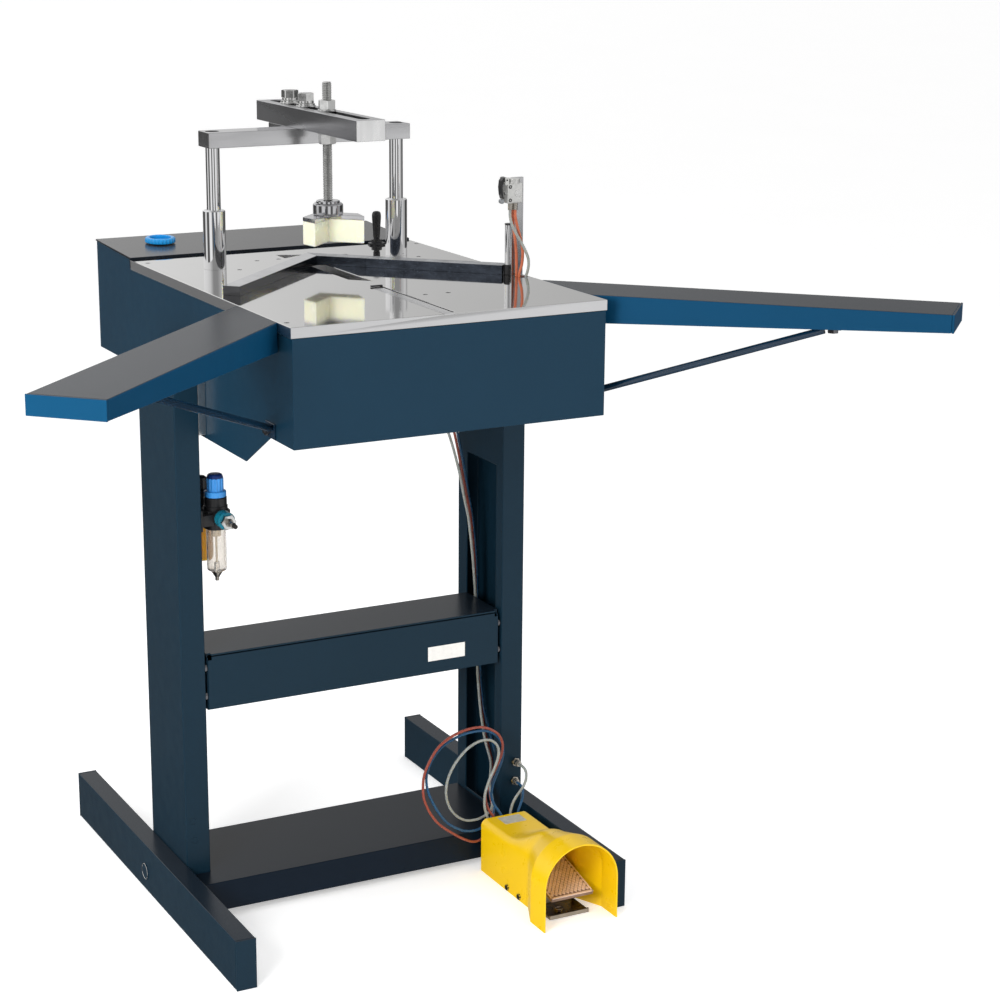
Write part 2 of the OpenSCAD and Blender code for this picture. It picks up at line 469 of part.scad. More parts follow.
// --- limit valve at the right of the table ---------------------------------
module valve_stand() color([0.7, 0.7, 0.7]) P() {
  translate([208, 240, 0]) {
    translate([0, 0, pz + 4]) cylinder(d = 8, h = 12);
    translate([0, 0, table_h]) cylinder(d = 12, h = 70);
    translate([0, 0, table_h + 70 - eps]) cylinder(d = 13, h = 1.5);
  }
  // flat post that carries the valve
  translate([204.5, 226, table_h]) cube([18, 5, 137]);
}
module valve_body() color([0.8, 0.8, 0.78]) P() {
  translate([189, 210, 1003.5]) cube([23.5, 16, 27.5]);
  translate([201.5, 217, 1031 - eps]) cylinder(r = 8.8, h = 6.5);
  // plunger under the roller lever
  translate([187, 216, 1017]) cx(2.5, 3);
  // ears of the lever pin
  for (y = [209, 223]) translate([185, y, 1029]) cube([6, 2.5, 10.5]);
  translate([187.5, 209, 1036]) cy(1.4, 16.5);
}
module valve_lever() color([0.05, 0.05, 0.05]) P() difference() {
  union() {
    translate([187.5, 212, 1036]) cy(3.6, 10.5);
    translate([0, 212.5, 0]) rotate([90, 0, 0]) mirror([0, 0, 1]) linear_extrude(9.5) polygon([[184, 1036], [187, 1039.4], [184, 1039], [181, 1035],
      [180, 1026], [181, 1016], [183, 1010], [184.6, 1010], [183.4, 1017], [182.6, 1026], [183.4, 1031]]);
    translate([182.8, 213.5, 1006.5]) cy(3.4, 6);
    translate([181.6, 215.5, 1006.5]) cube([2.4, 2, 6]);
  }
  translate([187.5, 202, 1036]) cy(1.45, 30);
}

// --- air preparation unit on the left post ------------------------------------
fx = -205; fy = 330;
module frl_body() color([0.07, 0.07, 0.08]) P() {
  difference() {
    union() {
      translate([fx, fy, 559.5]) cylinder(r = 17, h = 33.5);
      translate([fx, fy, 593 - eps]) cylinder(r = 16, h = 11.8);
      translate([fx - 17, fy - 14, 560]) cube([34, 28, 31]);
      translate([fx, fy + 56, 552]) cylinder(r = 17, h = 50);
      translate([fx - 12, fy + 10, 564]) cube([24, 40, 22]);
      // bracket to the post
      translate([-pin_x, 306, 562]) cube([3, 18, 30]);
      translate([-pin_x + 3 - eps, 309, 568]) cube([18, 12, 16]);
      // inlet boss at the front
      translate([fx, fy - 26, 579]) cy(11, 16);
    }
    translate([fx, fy, 559.5 - 1]) cylinder(r = 14.2, h = 4.5);
    translate([fx, fy + 56, 552 - 1]) cylinder(r = 14.2, h = 8);
  }
  // neck under the knob, sight dome of the lubricator
  translate([fx, fy, 604.8 - 2 * eps]) cylinder(r = 10, h = 7.2);
  translate([fx, fy + 56, 602 - eps]) cylinder(r = 9, h = 20);
}
module frl_knob() color([0.15, 0.4, 0.8]) P() translate([fx, fy, 0]) {
  difference() {
    union() {
      translate([0, 0, 604.8]) cylinder(r = 15.5, h = 8.5);
      translate([0, 0, 613.3 - eps]) cylinder(r = 11.4, h = 20.7);
      translate([0, 0, 634 - 2 * eps]) cylinder(r1 = 11.4, r2 = 9, h = 3.5);
      for (i = [0:11]) rotate([0, 0, i * 30]) translate([11, -1.2, 613]) cube([1.2, 2.4, 20]);
    }
    translate([0, 0, 600]) cylinder(r = 10.05, h = 12.1);
  }
}
module frl_bowl() color([0.85, 0.85, 0.82]) P() translate([fx, fy, 0]) difference() {
  union() {
    translate([0, 0, 501]) cylinder(r = 14, h = 62);
    translate([0, 0, 498]) cylinder(r1 = 12.8, r2 = 14, h = 3.01);
  }
  translate([0, 0, 501]) cylinder(r = 12, h = 70);
  translate([0, 0, 490]) cylinder(r = 4, h = 20);
}
module frl_oil_bowl() color([0.85, 0.6, 0.2]) P() translate([fx, fy + 56, 0]) difference() {
  union() {
    translate([0, 0, 505]) cylinder(r = 14, h = 54);
    translate([0, 0, 499]) cylinder(r1 = 11, r2 = 14, h = 6.01);
  }
  translate([0, 0, 502]) cylinder(r = 12, h = 70);
}
module frl_coupler() color([0.75, 0.75, 0.75]) P() {
  // ring and plug of the air inlet
  translate([fx, fy - 44, 579]) cy(12.5, 18);
  translate([fx, fy - 52, 579]) rotate([-90, 0, 0]) cylinder(d = 19 / cos(30), h = 8.01, $fn = 6);
  translate([fx, fy - 66, 579]) cy(4.5, 14.01);
  translate([fx, fy - 84, 579]) cy(3.2, 18.01);
  translate([fx, fy - 76, 579]) cy(4, 3);
  // drain and filter element in the bowl
  translate([fx, fy, 494]) cylinder(r = 4, h = 16);
  translate([fx, fy, 488]) cylinder(r1 = 3.5, r2 = 8, h = 8);
  translate([fx, fy, 482.6]) cylinder(r = 2.8, h = 6);
  translate([fx, fy, 548]) cylinder(r = 7, h = 15);
  translate([fx, fy, 509]) cylinder(r = 1.6, h = 40);
}

// --- foot pedal ----------------------------------------------------------------
qx = 212;
module section(y, w, h, t, e) translate([qx, y, 0]) rotate([90, 0, 0]) linear_extrude(0.2)
  polygon([[-w / 2, 0], [-w / 2, h - t * 2], [-w / 2 + e * 0.4, h - t], [-w / 2 + e, h], [w / 2 - e, h], [w / 2 - e * 0.4, h - t], [w / 2, h - t * 2], [w / 2, 0]]);
module arch(y, w, h, o = 0) translate([qx, y, 0]) rotate([90, 0, 0]) linear_extrude(0.2) intersection() {
  translate([-w / 2, 0]) square([w, h]);
  union() { translate([-w / 2, 0]) square([w, h - w / 2 + 12]); translate([0, h - w / 2]) circle(r = w / 2, $fn = 40); translate([0, h - w / 2 - 3]) circle(r = w / 2 + 1.5, $fn = 40); }
}
module pedal_guard() color([0.95, 0.78, 0.05]) P() difference() {
  union() {
    hull() { section(245, 80, 82, 3, 7); section(96, 80, 82, 3, 7); }
    hull() { section(180, 72, 82, 3, 9); arch(98, 80, 112); }
    hull() { arch(98, 80, 112); arch(56, 119, 123); }
    hull() { arch(56, 119, 123); arch(14.2, 119.4, 123); }
  }
  hull() { translate([0, 0, -1]) section(242.4, 75, 80.5, 3, 6); translate([0, 0, -1]) section(96, 75, 80.5, 3, 6); }
  hull() { translate([0, 0, -1]) section(172, 66, 80.5, 3, 8); translate([0, 0, -1]) arch(99.5, 75, 110.5); translate([0, 0, -1]) arch(96.5, 76, 111); }
  hull() { translate([0, 0, -1]) arch(99.5, 75, 110.5); translate([0, 0, -1]) arch(57.5, 114, 121.5); translate([0, 0, -1]) arch(10, 114.4, 121.5); }
  translate([0, 0, -10]) translate([100, 0, 0]) cube([200, 300, 10]);
  // screw holes of the side flanges
  for (y = [124, 160]) translate([150, y, 7]) cx(2.6, 130);
  // holes for the hose elbows
  for (x = [188:12:236]) translate([x, 235, 62]) cy(3.5, 20);
}
module pedal_base() color([0.36, 0.3, 0.25]) P() difference() {
  union() {
    translate([180, 47, 0]) cube([64, 50, 4]);
    translate([174.6, 96, 0]) cube([74.8, 145, 4]);
    translate([180, 47, 3]) cube([64, 3, 3.5]);
    for (x = [174.6, 246.9]) translate([x, 110, 0]) cube([2.5, 128, 26]);
    for (x = [177.5, 243.5]) translate([x, 142, 3]) cube([3, 18, 64]);
    translate([204, 66, 4 - eps]) cylinder(d = 13, h = 4);
  }
  for (y = [124, 160]) translate([150, y, 7]) cx(2.2, 130);
  translate([170, 150, pin_z]) cx(4, 84);
}
tr_a = 14;
pin_z = 58;
module treadle() color([0.84, 0.72, 0.62]) P() translate([qx, 150, pin_z]) rotate([tr_a, 0, 0]) difference() {
  union() {
    translate([-30, -113, 0]) cube([60, 118, 5]);
    translate([-34, -113, 0]) cube([68, 99, 5]);
    translate([-30, 0, 0]) cx(7, 60);
    // cross ribs of the tread
    for (i = [0:8]) translate([-32, -110 + i * 11, 4.9]) cube([64, 3, 1.1]);
  }
  translate([-40, 0, 0]) cx(4.05, 80);
}
module valve_plunger() color([0.8, 0.8, 0.8]) P() translate([qx, 100, 0]) {
  translate([0, 0, 20]) cylinder(d = 8, h = 22);
  translate([0, 0, 41.5]) cylinder(d = 10, h = 2.4);
}
module pedal_valve() color([0.6, 0.6, 0.6]) P() difference() {
  translate([184, 92, 4]) cube([56, 36, 24]);
  translate([qx, 100, 10]) cylinder(r = 4.05, h = 40);
}
module pedal_screws() color([0.7, 0.7, 0.7]) P() {
  translate([176.4, 150, pin_z]) cx(4, 71.2);
  for (y = [124, 160]) {
    translate([169.4, y, 7]) { cx(4.2, 2.6); cx(2.2, 12); }
    translate([252, y, 7]) { cx(4.2, 2.6); translate([-9.4, 0, 0]) cx(2.2, 9.4); }
  }
}

// --- fittings --------------------------------------------------------------------
module hose_fittings() color([0.78, 0.76, 0.7]) P() {
  // bulkheads in the cabinet pan
  for (p = [[196, 400], [208, 407], [184, 393]]) translate([p.x, p.y, 0]) {
    translate([0, 0, 684]) cylinder(d = 8.4, h = 10);
    translate([0, 0, cab_deep - 4]) hexz(12, 4);
    translate([0, 0, cab_deep]) cylinder(d = 10, h = 8);
    translate([0, 0, cab_deep + 2]) hexz(12, 4);
  }
  // elbows behind the pedal
  for (x = [188:12:236]) {
    translate([x, 238, 62]) cy(3.5, 12);
    translate([x, 250, 58]) cylinder(d = 8.4, h = 12);
  }
  // bulkheads in the front of the right post
  translate([foot_in - 11, 290, 138]) { cy(4.2, 14); translate([0, 10, 0]) rotate([-90, 0, 0]) hexz(12, 4); cy(5, 24); }
  translate([foot_in - 13, 292, 108]) { cy(4.2, 12); translate([0, 8, 0]) rotate([-90, 0, 0]) hexz(12, 4); cy(5, 22); }
  // stems under the limit valve
  for (p = [[195.5, 214.5], [203.5, 214.5], [203.5, 221.5]]) translate([p.x, p.y, 994]) cylinder(d = 6.6, h = 9.5);
}
module hose_orange() color([0.75, 0.3, 0.15]) P() hose(orange_route);
module hose_blue() color([0.1, 0.4, 0.65]) P() hose(blue_route);
module hose_clear() color([0.8, 0.82, 0.8]) P() hose(clear_route);
module hose_post_a() color([0.8, 0.82, 0.8]) P() hose(post_a_route, m = 3);
module hose_post_b() color([0.1, 0.4, 0.65]) P() hose(post_b_route, m = 3);
module hose_valve_a() color([0.75, 0.3, 0.15]) P() hose(valve_a_route);
module hose_valve_b() color([0.8, 0.82, 0.8]) P() hose(valve_b_route);
module hose_valve_c() color([0.75, 0.3, 0.15]) P() hose(valve_c_route);

feet();
end_plates();
posts();
post_shims();
frame_bolts();
shelf();
tool_box();
drawer();
cabinet();
cabinet_pan();
table_plate();
scale_strip();
rear_cover();
wings();
struts();
fence_left();
fence_right();
fence_insert();
guide_sleeves();
guide_rods();
yoke();
cross_bar();
slotted_bar();
reach_bolts();
spindle();
spindle_nuts();
pad_head();
clamp_pad();
clamp_cylinder();
clamp_piston();
carriage_rails();
nail_carriage();
driver_blade();
nail_pusher();
switch_bases();
lever_grip();
valve_stand();
valve_body();
valve_lever();
rear_knob();
frl_body();
frl_knob();
frl_bowl();
frl_oil_bowl();
frl_coupler();
pedal_base();
pedal_guard();
treadle();
valve_plunger();
pedal_valve();
pedal_screws();
hose_fittings();
hose_orange();
hose_blue();
hose_clear();
hose_post_a();
hose_post_b();
hose_valve_a();
hose_valve_b();
hose_valve_c();
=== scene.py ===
import bpy, bmesh, json, math
from mathutils import Matrix, Vector

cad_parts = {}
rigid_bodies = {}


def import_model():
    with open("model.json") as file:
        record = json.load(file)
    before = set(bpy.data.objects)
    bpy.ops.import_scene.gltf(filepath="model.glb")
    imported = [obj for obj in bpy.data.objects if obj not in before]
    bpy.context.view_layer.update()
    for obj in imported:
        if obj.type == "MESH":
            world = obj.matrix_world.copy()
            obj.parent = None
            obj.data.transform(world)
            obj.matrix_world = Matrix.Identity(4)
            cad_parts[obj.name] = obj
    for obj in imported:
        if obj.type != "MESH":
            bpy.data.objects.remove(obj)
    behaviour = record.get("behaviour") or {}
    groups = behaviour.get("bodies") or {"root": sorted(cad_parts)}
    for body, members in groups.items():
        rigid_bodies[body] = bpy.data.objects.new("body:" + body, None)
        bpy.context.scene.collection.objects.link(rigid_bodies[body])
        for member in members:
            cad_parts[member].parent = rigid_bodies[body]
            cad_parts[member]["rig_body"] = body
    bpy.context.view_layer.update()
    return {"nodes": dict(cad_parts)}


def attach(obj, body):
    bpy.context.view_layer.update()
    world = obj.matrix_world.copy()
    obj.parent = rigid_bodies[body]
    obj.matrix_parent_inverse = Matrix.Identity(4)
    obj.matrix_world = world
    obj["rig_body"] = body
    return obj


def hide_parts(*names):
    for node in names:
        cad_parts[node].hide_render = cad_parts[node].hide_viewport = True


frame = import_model()
N = frame["nodes"]
BODY = {n: o["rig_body"] for n, o in N.items()}
YO = -230.25            # plate front edge in the row frame, mm
rad = math.radians


def row(x, y, z):
    return Vector((x * .001, (y + YO) * .001, z * .001))


def lin(r, g, b):
    f = lambda c: c / 12.92 / 255 if c <= 10 else ((c / 255 + .055) / 1.055) ** 2.4
    return (f(r), f(g), f(b))


# ------------------------------------------------------------------ camera
cam = bpy.data.cameras.new("camera")
cam_ob = bpy.data.objects.new("camera", cam)
bpy.context.scene.collection.objects.link(cam_ob)
AZ, EL = .4606, .2607
look = Vector((math.sin(AZ) * math.cos(EL), math.cos(AZ) * math.cos(EL), -math.sin(EL)))
cam_ob.location = (-1.3043, -2.78915, 1.42)
cam_ob.rotation_mode = "QUATERNION"
cam_ob.rotation_quaternion = look.to_track_quat("-Z", "Y")
cam.sensor_width, cam.lens, cam.shift_x = 36, 82.206, .07
cam.clip_start, cam.clip_end = .05, 200
bpy.context.scene.camera = cam_ob

# --------------------------------------------------------------- materials
MATS = {}


def nd(t, kind, **kw):
    n = t.nodes.new(kind)
    for k, v in kw.items():
        if k in n.inputs:
            n.inputs[k].default_value = v
        else:
            setattr(n, k, v)
    return n


def maprange(t, src, a, b, c, d):
    m = nd(t, "ShaderNodeMapRange")
    for i, v in zip((1, 2, 3, 4), (a, b, c, d)):
        m.inputs[i].default_value = v
    t.links.new(src, m.inputs[0])
    return m.outputs[0]


def mixc(t, fac, a, b, mode="MIX"):
    m = nd(t, "ShaderNodeMix", data_type="RGBA", blend_type=mode)
    if isinstance(fac, (int, float)):
        m.inputs[0].default_value = fac
    else:
        t.links.new(fac, m.inputs[0])
    for i, v in ((6, a), (7, b)):
        if isinstance(v, tuple):
            m.inputs[i].default_value = (*v, 1)
        else:
            t.links.new(v, m.inputs[i])
    return m.outputs[2]


def mat(name, base, rough, metal=0.0, var=.08, vs=14, rvar=.05, rs=60, bump=0, bs=900, bd=.0002,
        stretch=(1, 1, 1), coat=0, coatr=.1, ior=1.5, spec=.5, trans=0, sss=0, aniso=0, top=None, side=None,
        spots=None, detail=4):
    """A procedural material: colour and roughness drift, fine bump, and optional extra colours; top and side paint
    faces that point up or sideways in another colour, painted light and shade.
    """
    if name in MATS:
        return MATS[name]
    m = bpy.data.materials.new(name)
    m.use_nodes = True
    t = m.node_tree
    t.nodes.clear()
    out = nd(t, "ShaderNodeOutputMaterial")
    p = nd(t, "ShaderNodeBsdfPrincipled")
    t.links.new(p.outputs[0], out.inputs[0])
    for k, v in (("Metallic", metal), ("IOR", ior), ("Specular IOR Level", spec), ("Coat Weight", coat),
                 ("Coat Roughness", coatr), ("Transmission Weight", trans), ("Subsurface Weight", sss),
                 ("Anisotropic", aniso)):
        p.inputs[k].default_value = v
    if sss:
        p.inputs["Subsurface Radius"].default_value = (1.0, .8, .4)
        p.inputs["Subsurface Scale"].default_value = .012
    tc = nd(t, "ShaderNodeTexCoord")
    mp = nd(t, "ShaderNodeMapping")
    mp.inputs["Scale"].default_value = stretch
    t.links.new(tc.outputs["Object"], mp.inputs[0])
    n1 = nd(t, "ShaderNodeTexNoise", Scale=vs, Detail=detail, Roughness=.6)
    t.links.new(mp.outputs[0], n1.inputs["Vector"])
    k = maprange(t, n1.outputs[0], .3, .7, 0, 1)
    lo = tuple(max(0, c * (1 - var)) for c in base)
    hi = tuple(min(1, c * (1 + var)) for c in base)
    col = mixc(t, k, lo, hi)
    if spots:                                  # fine flecks: (colour, scale, amount)
        c2, sc, am = spots
        n3 = nd(t, "ShaderNodeTexNoise", Scale=sc, Detail=3, Roughness=.7)
        t.links.new(mp.outputs[0], n3.inputs["Vector"])
        col = mixc(t, maprange(t, n3.outputs[0], .55, .72, 0, am), col, c2)
    rlo, rhi = max(.01, rough - rvar), rough + rvar
    n2 = nd(t, "ShaderNodeTexNoise", Scale=rs, Detail=3)
    t.links.new(mp.outputs[0], n2.inputs["Vector"])
    rr = maprange(t, n2.outputs[0], .3, .7, rlo, rhi)
    for key, painted_light_spec in (("top", top), ("side", side)):
        if not painted_light_spec:
            continue
        c2, r2 = painted_light_spec                          # painted light and shade: another colour and roughness by the way the face points
        g = nd(t, "ShaderNodeNewGeometry")
        sx = nd(t, "ShaderNodeSeparateXYZ")
        t.links.new(g.outputs["Normal"], sx.inputs[0])
        f = maprange(t, sx.outputs[2], .6, .9, 0, 1) if key == "top" else maprange(t, sx.outputs[2], .2, .7, 1, 0)
        painted_light_col = mixc(t, k, tuple(c * (1 - var) for c in c2), tuple(min(1, c * (1 + var)) for c in c2))
        col = mixc(t, f, col, painted_light_col)
        if r2 is not None:
            mm = nd(t, "ShaderNodeMix", data_type="FLOAT")
            t.links.new(f, mm.inputs[0]); t.links.new(rr, mm.inputs[2]); mm.inputs[3].default_value = r2
            rr = mm.outputs[0]
    t.links.new(col, p.inputs["Base Color"])
    t.links.new(rr, p.inputs["Roughness"])
    if bump:
        n4 = nd(t, "ShaderNodeTexNoise", Scale=bs, Detail=2, Roughness=.5)
        t.links.new(mp.outputs[0], n4.inputs["Vector"])
        b = nd(t, "ShaderNodeBump", Strength=bump, Distance=bd)
        t.links.new(n4.outputs[0], b.inputs["Height"])
        t.links.new(b.outputs[0], p.inputs["Normal"])
    m.diffuse_color = (*base, 1)
    MATS[name] = m
    return m


NAVY = (.006, .022, .038)
# up-facing faces of the navy paint are painted greyer, a painted sheen
navy = mat("navy_paint", NAVY, .32, var=.06, vs=3, rvar=.04, rs=40, bump=.25, bs=700, bd=.0003, spec=.17,
           spots=((.008, .045, .09), 900, .3), top=((.010, .016, .024), .26))
# a lighter copy of the navy paint for the cabinet, painted light; its up-facing faces are painted greyer, a painted
# sheen
navy_cab_lit = mat("navy_cabinet_lit", (.006, .029, .054), .32, var=.06, vs=3, rvar=.04, rs=40, bump=.25, bs=700, bd=.0003, spec=.17,
               spots=((.010, .045, .08), 900, .3), top=((.010, .016, .024), .26))
# a lighter, bluer copy of the navy paint for the wings and their end plates, painted light; up-facing faces painted
# greyer, a painted sheen
navy_wing_lit = mat("navy_wing_lit", (.003, .048, .110), .34, var=.06, vs=3, rvar=.04, rs=40, bump=.25, bs=700, bd=.0003, spec=.10,
                spots=((.012, .07, .13), 900, .3), top=((.016, .020, .026), .26))
# a darker copy of the navy paint for the shelf and the cabinet pan, painted shade; up-facing faces painted greyer, a
# painted sheen
navy_shaded = mat("navy_shaded_paint", (.002, .008, .018), .35, var=.1, vs=6, bump=.25, bs=700, bd=.0003, spec=.16,
                spots=((.004, .016, .03), 900, .3), top=((.006, .010, .016), .3))
# the rear cover's paint is made very dark so its front edge shows no highlight, painted shade; up-facing faces painted
# lighter grey, a painted sheen
cover_m = mat("cover_paint", (.002, .005, .010), .24, var=.06, vs=4, bump=.12, bs=500, bd=.0003, spec=.3,
              top=((.030, .030, .031), .2))
strut_m = mat("strut_paint", (.003, .018, .040), .16, var=.1, vs=20, rvar=.05, rs=60, bump=.2, bs=500, bd=.0003, spec=.6,
              coat=.2)
dark_zinc = mat("dark_zinc", (.16, .16, .17), .18, 1, var=.2, vs=120, rvar=.07, rs=200, bump=.1, bs=700, bd=.0001)
# faces turned sideways are rougher, and painted lighter as a painted highlight on the plate's edges
plate_m = mat("plate_steel", (.68, .675, .665), .05, 1, var=.02, vs=3, rvar=.02, rs=8, bump=.02, bs=60, bd=.0002,
              side=((.86, .86, .87), .34))
edge_m = mat("scale_steel", (.66, .66, .67), .2, 1, var=.05, vs=40, rvar=.05, bump=.05, bs=300, bd=.0001)
ground = mat("ground_steel", (.55, .55, .56), .24, 1, var=.1, vs=22, rvar=.07, rs=30, bump=.25, bs=260, bd=.0001,
             stretch=(.15, 1, 1))
ground_y = mat("ground_steel_long", (.50, .50, .515), .26, 1, var=.1, vs=22, rvar=.06, rs=30, bump=.25, bs=260,
               bd=.0001, stretch=(1, .12, 1))
mirror_m = mat("polished_bar", (.55, .55, .565), .08, 1, var=.1, vs=30, rvar=.04, rs=50, bump=.05, bs=200, bd=.0001)
# up-facing faces are painted light grey, a painted highlight along the top of the dark bar
hard_m = mat("hardened_bar", (.055, .065, .085), .2, .85, var=.5, vs=45, rvar=.08, rs=90, bump=.12, bs=300,
             bd=.0001, stretch=(1, 1, 2.2), spots=((.16, .2, .26), 260, .55), top=((.32, .33, .35), .25))
chrome = mat("hard_chrome", (.84, .84, .85), .055, 1, var=.02, vs=20, rvar=.015, rs=60, bump=.02, bs=200, bd=.00005,
             stretch=(1, 1, .1))
zinc = mat("zinc_plate", (.62, .62, .61), .27, 1, var=.12, vs=120, rvar=.07, rs=200, bump=.1, bs=700, bd=.0001)
zinc_b = mat("bright_zinc", (.78, .78, .77), .2, 1, var=.08, vs=120, rvar=.05, rs=200, bump=.06, bs=700, bd=.0001)
black_steel = mat("black_steel", (.03, .03, .033), .4, .6, var=.2, vs=60, bump=.1, bs=700, bd=.0001)
alloy = mat("anodised", (.42, .44, .46), .35, .9, var=.06, vs=60, bump=.08, bs=900, bd=.0001)
cast = mat("die_cast", (.72, .72, .70), .32, .75, var=.06, vs=140, rvar=.06, bump=.15, bs=1400, bd=.0001)
pad_m = mat("urethane", (.95, .92, .72), .26, 0, var=.02, vs=30, rvar=.03, rs=60, bump=.02, bs=160, bd=.0002,
            trans=0, sss=.55, ior=1.48)
black_p = mat("black_plastic", (.012, .012, .013), .34, var=.2, vs=80, rvar=.08, bump=.12, bs=1300, bd=.0001)
black_g = mat("black_rubber", (.010, .010, .011), .26, var=.2, vs=80, rvar=.1, bump=.1, bs=900, bd=.0002)
blue_p = mat("blue_knob", (.04, .25, .63), .3, var=.1, vs=80, rvar=.06, bump=.08, bs=1300, bd=.0001, coat=.2)
blue_r = mat("blue_ring", (.01, .26, .62), .28, var=.08, vs=80, rvar=.06, bump=.06, bs=1200, bd=.0001, coat=.3)
navy_p = mat("navy_plastic", (.006, .022, .11), .3, var=.1, vs=80, rvar=.06, bump=.08, bs=1300, bd=.0001)
teal_m = mat("teal_ring", (.008, .20, .29), .22, .35, var=.1, vs=80, rvar=.05, bump=.05, bs=1200, bd=.0001, coat=.4)
clear_m = mat("clear_bowl", (.93, .90, .86), .08, var=.03, vs=60, rvar=.03, trans=.88, ior=1.45)
amber_m = mat("amber_bowl", (.95, .55, .06), .1, var=.08, vs=60, rvar=.03, trans=.6, ior=1.45, sss=.2)
element_m = mat("filter_element", (.55, .42, .22), .6, var=.15, vs=200, bump=.3, bs=900, bd=.0003)
nickel = mat("nickel", (.58, .54, .48), .24, 1, var=.12, vs=150, rvar=.06, bump=.05, bs=900, bd=.0001)
yellow = mat("guard_yellow", (.88, .56, .002), .3, var=.02, vs=9, rvar=.04, rs=50, bump=.06, bs=420, bd=.0002,
             spec=.4, coat=.12, spots=((.93, .64, .01), 500, .2))
tan_m = mat("tread_tan", (.84, .66, .57), .40, .15, var=.08, vs=70, rvar=.07, bump=.2, bs=1200, bd=.0001)
# the tread plate's body under the diamonds, darker, seen in the grooves between them and on its edges
tan_groove_m = mat("tread_dark_body", (.26, .165, .12), .5, .15, var=.15, vs=90, rvar=.07, bump=.2, bs=1200, bd=.0001)
# faces turned sideways are painted light beige, a painted highlight on the base's lip and edges
bronze = mat("bronze_sheet", (.07, .048, .034), .3, .7, var=.25, vs=30, rvar=.1, bump=.08, bs=700, bd=.0001,
             side=((.42, .35, .27), .35))
or_m = mat("hose_orange", (.27, .055, .035), .28, var=.1, vs=90, rvar=.06, bump=.05, bs=900, bd=.0001, sss=.12, coat=.3)
bl_m = mat("hose_blue", (.012, .075, .17), .28, var=.1, vs=90, rvar=.06, bump=.05, bs=900, bd=.0001, sss=.1, coat=.3)
cl_m = mat("hose_clear", (.36, .38, .36), .25, var=.1, vs=90, rvar=.06, bump=.05, bs=900, bd=.0001, trans=.25, sss=.2)
paper = mat("blank_label", (.80, .79, .76), .5, var=.06, vs=90, rvar=.05, bump=.1, bs=500, bd=.0001,
            spots=((.55, .55, .54), 160, .25))
paper_g = mat("grey_label", (.50, .48, .40), .4, var=.15, vs=120, rvar=.05, bump=.1, bs=500, bd=.0001,
              spots=((.30, .29, .26), 260, .4))
or_v = mat("hose_orange_valve", (.50, .13, .06), .28, var=.1, vs=90, rvar=.06, bump=.05, bs=900, bd=.0001, sss=.12, coat=.3)
# faces turned sideways are painted dark, painted shade on the bar's inner face
fence_m = mat("fence_bar", (.55, .55, .565), .09, 1, var=.12, vs=30, rvar=.04, rs=50, bump=.08, bs=200, bd=.0001,
              stretch=(1, 1, 2.2), side=((.10, .10, .105), .17))
# a much lighter steel for the bar's front end face, a painted highlight
end_highlight_m = mat("milled_end_highlight", (.92, .92, .92), .3, 1, var=.05, vs=60, rvar=.05, rs=90, bump=.15, bs=400, bd=.0001,
            stretch=(1, 1, .2))
dark_in = mat("dark_rubber_tip", (.015, .013, .012), .5, var=.2, vs=80, bump=.1, bs=900, bd=.0001)

# ------------------------------------------------------------ mesh helpers


def clean(bm, d=1e-5):
    bmesh.ops.remove_doubles(bm, verts=bm.verts, dist=d)
    bmesh.ops.recalc_face_normals(bm, faces=bm.faces)
    return bm


def put(name, bm, m, body, node=None, sharp=32, wn=True, mm=True):
    """Turns a bmesh in millimetres from the plate's front edge into a piece on its body."""
    if mm:
        for v in bm.verts:
            v.co = row(*v.co)
    bmesh.ops.recalc_face_normals(bm, faces=bm.faces)
    me = bpy.data.meshes.new(name)
    bm.to_mesh(me)
    bm.free()
    me.polygons.foreach_set("use_smooth", [True] * len(me.polygons))
    me.set_sharp_from_angle(angle=rad(sharp))
    for x in (m if isinstance(m, (list, tuple)) else [m]):
        me.materials.append(x)
    o = bpy.data.objects.new(name, me)
    bpy.context.scene.collection.objects.link(o)
    if wn:
        w = o.modifiers.new("weighted", "WEIGHTED_NORMAL")
        w.keep_sharp = True
    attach(o, body)
    for n in ([node] if isinstance(node, str) else node or []):
        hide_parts(n)
    return o


def join(bm, tmp, M=None, mi=None):
    """Adds one bmesh to another, moved by M, with material index mi."""
    if M is not None:
        bmesh.ops.transform(tmp, matrix=M, verts=tmp.verts)
    if mi is not None:
        for f in tmp.faces:
            f.material_index = mi
    me = bpy.data.meshes.new("t")
    tmp.to_mesh(me)
    tmp.free()
    bm.from_mesh(me)
    bpy.data.meshes.remove(me)
    return bm


def T(x, y, z, ax=None, deg=0):
    M = Matrix.Translation((x, y, z))
    return M @ Matrix.Rotation(rad(deg), 4, ax) if ax else M


AX_X = Matrix.Rotation(rad(90), 4, "Y")      # local +Z to +X
AX_Y = Matrix.Rotation(rad(-90), 4, "X")     # local +Z to +Y


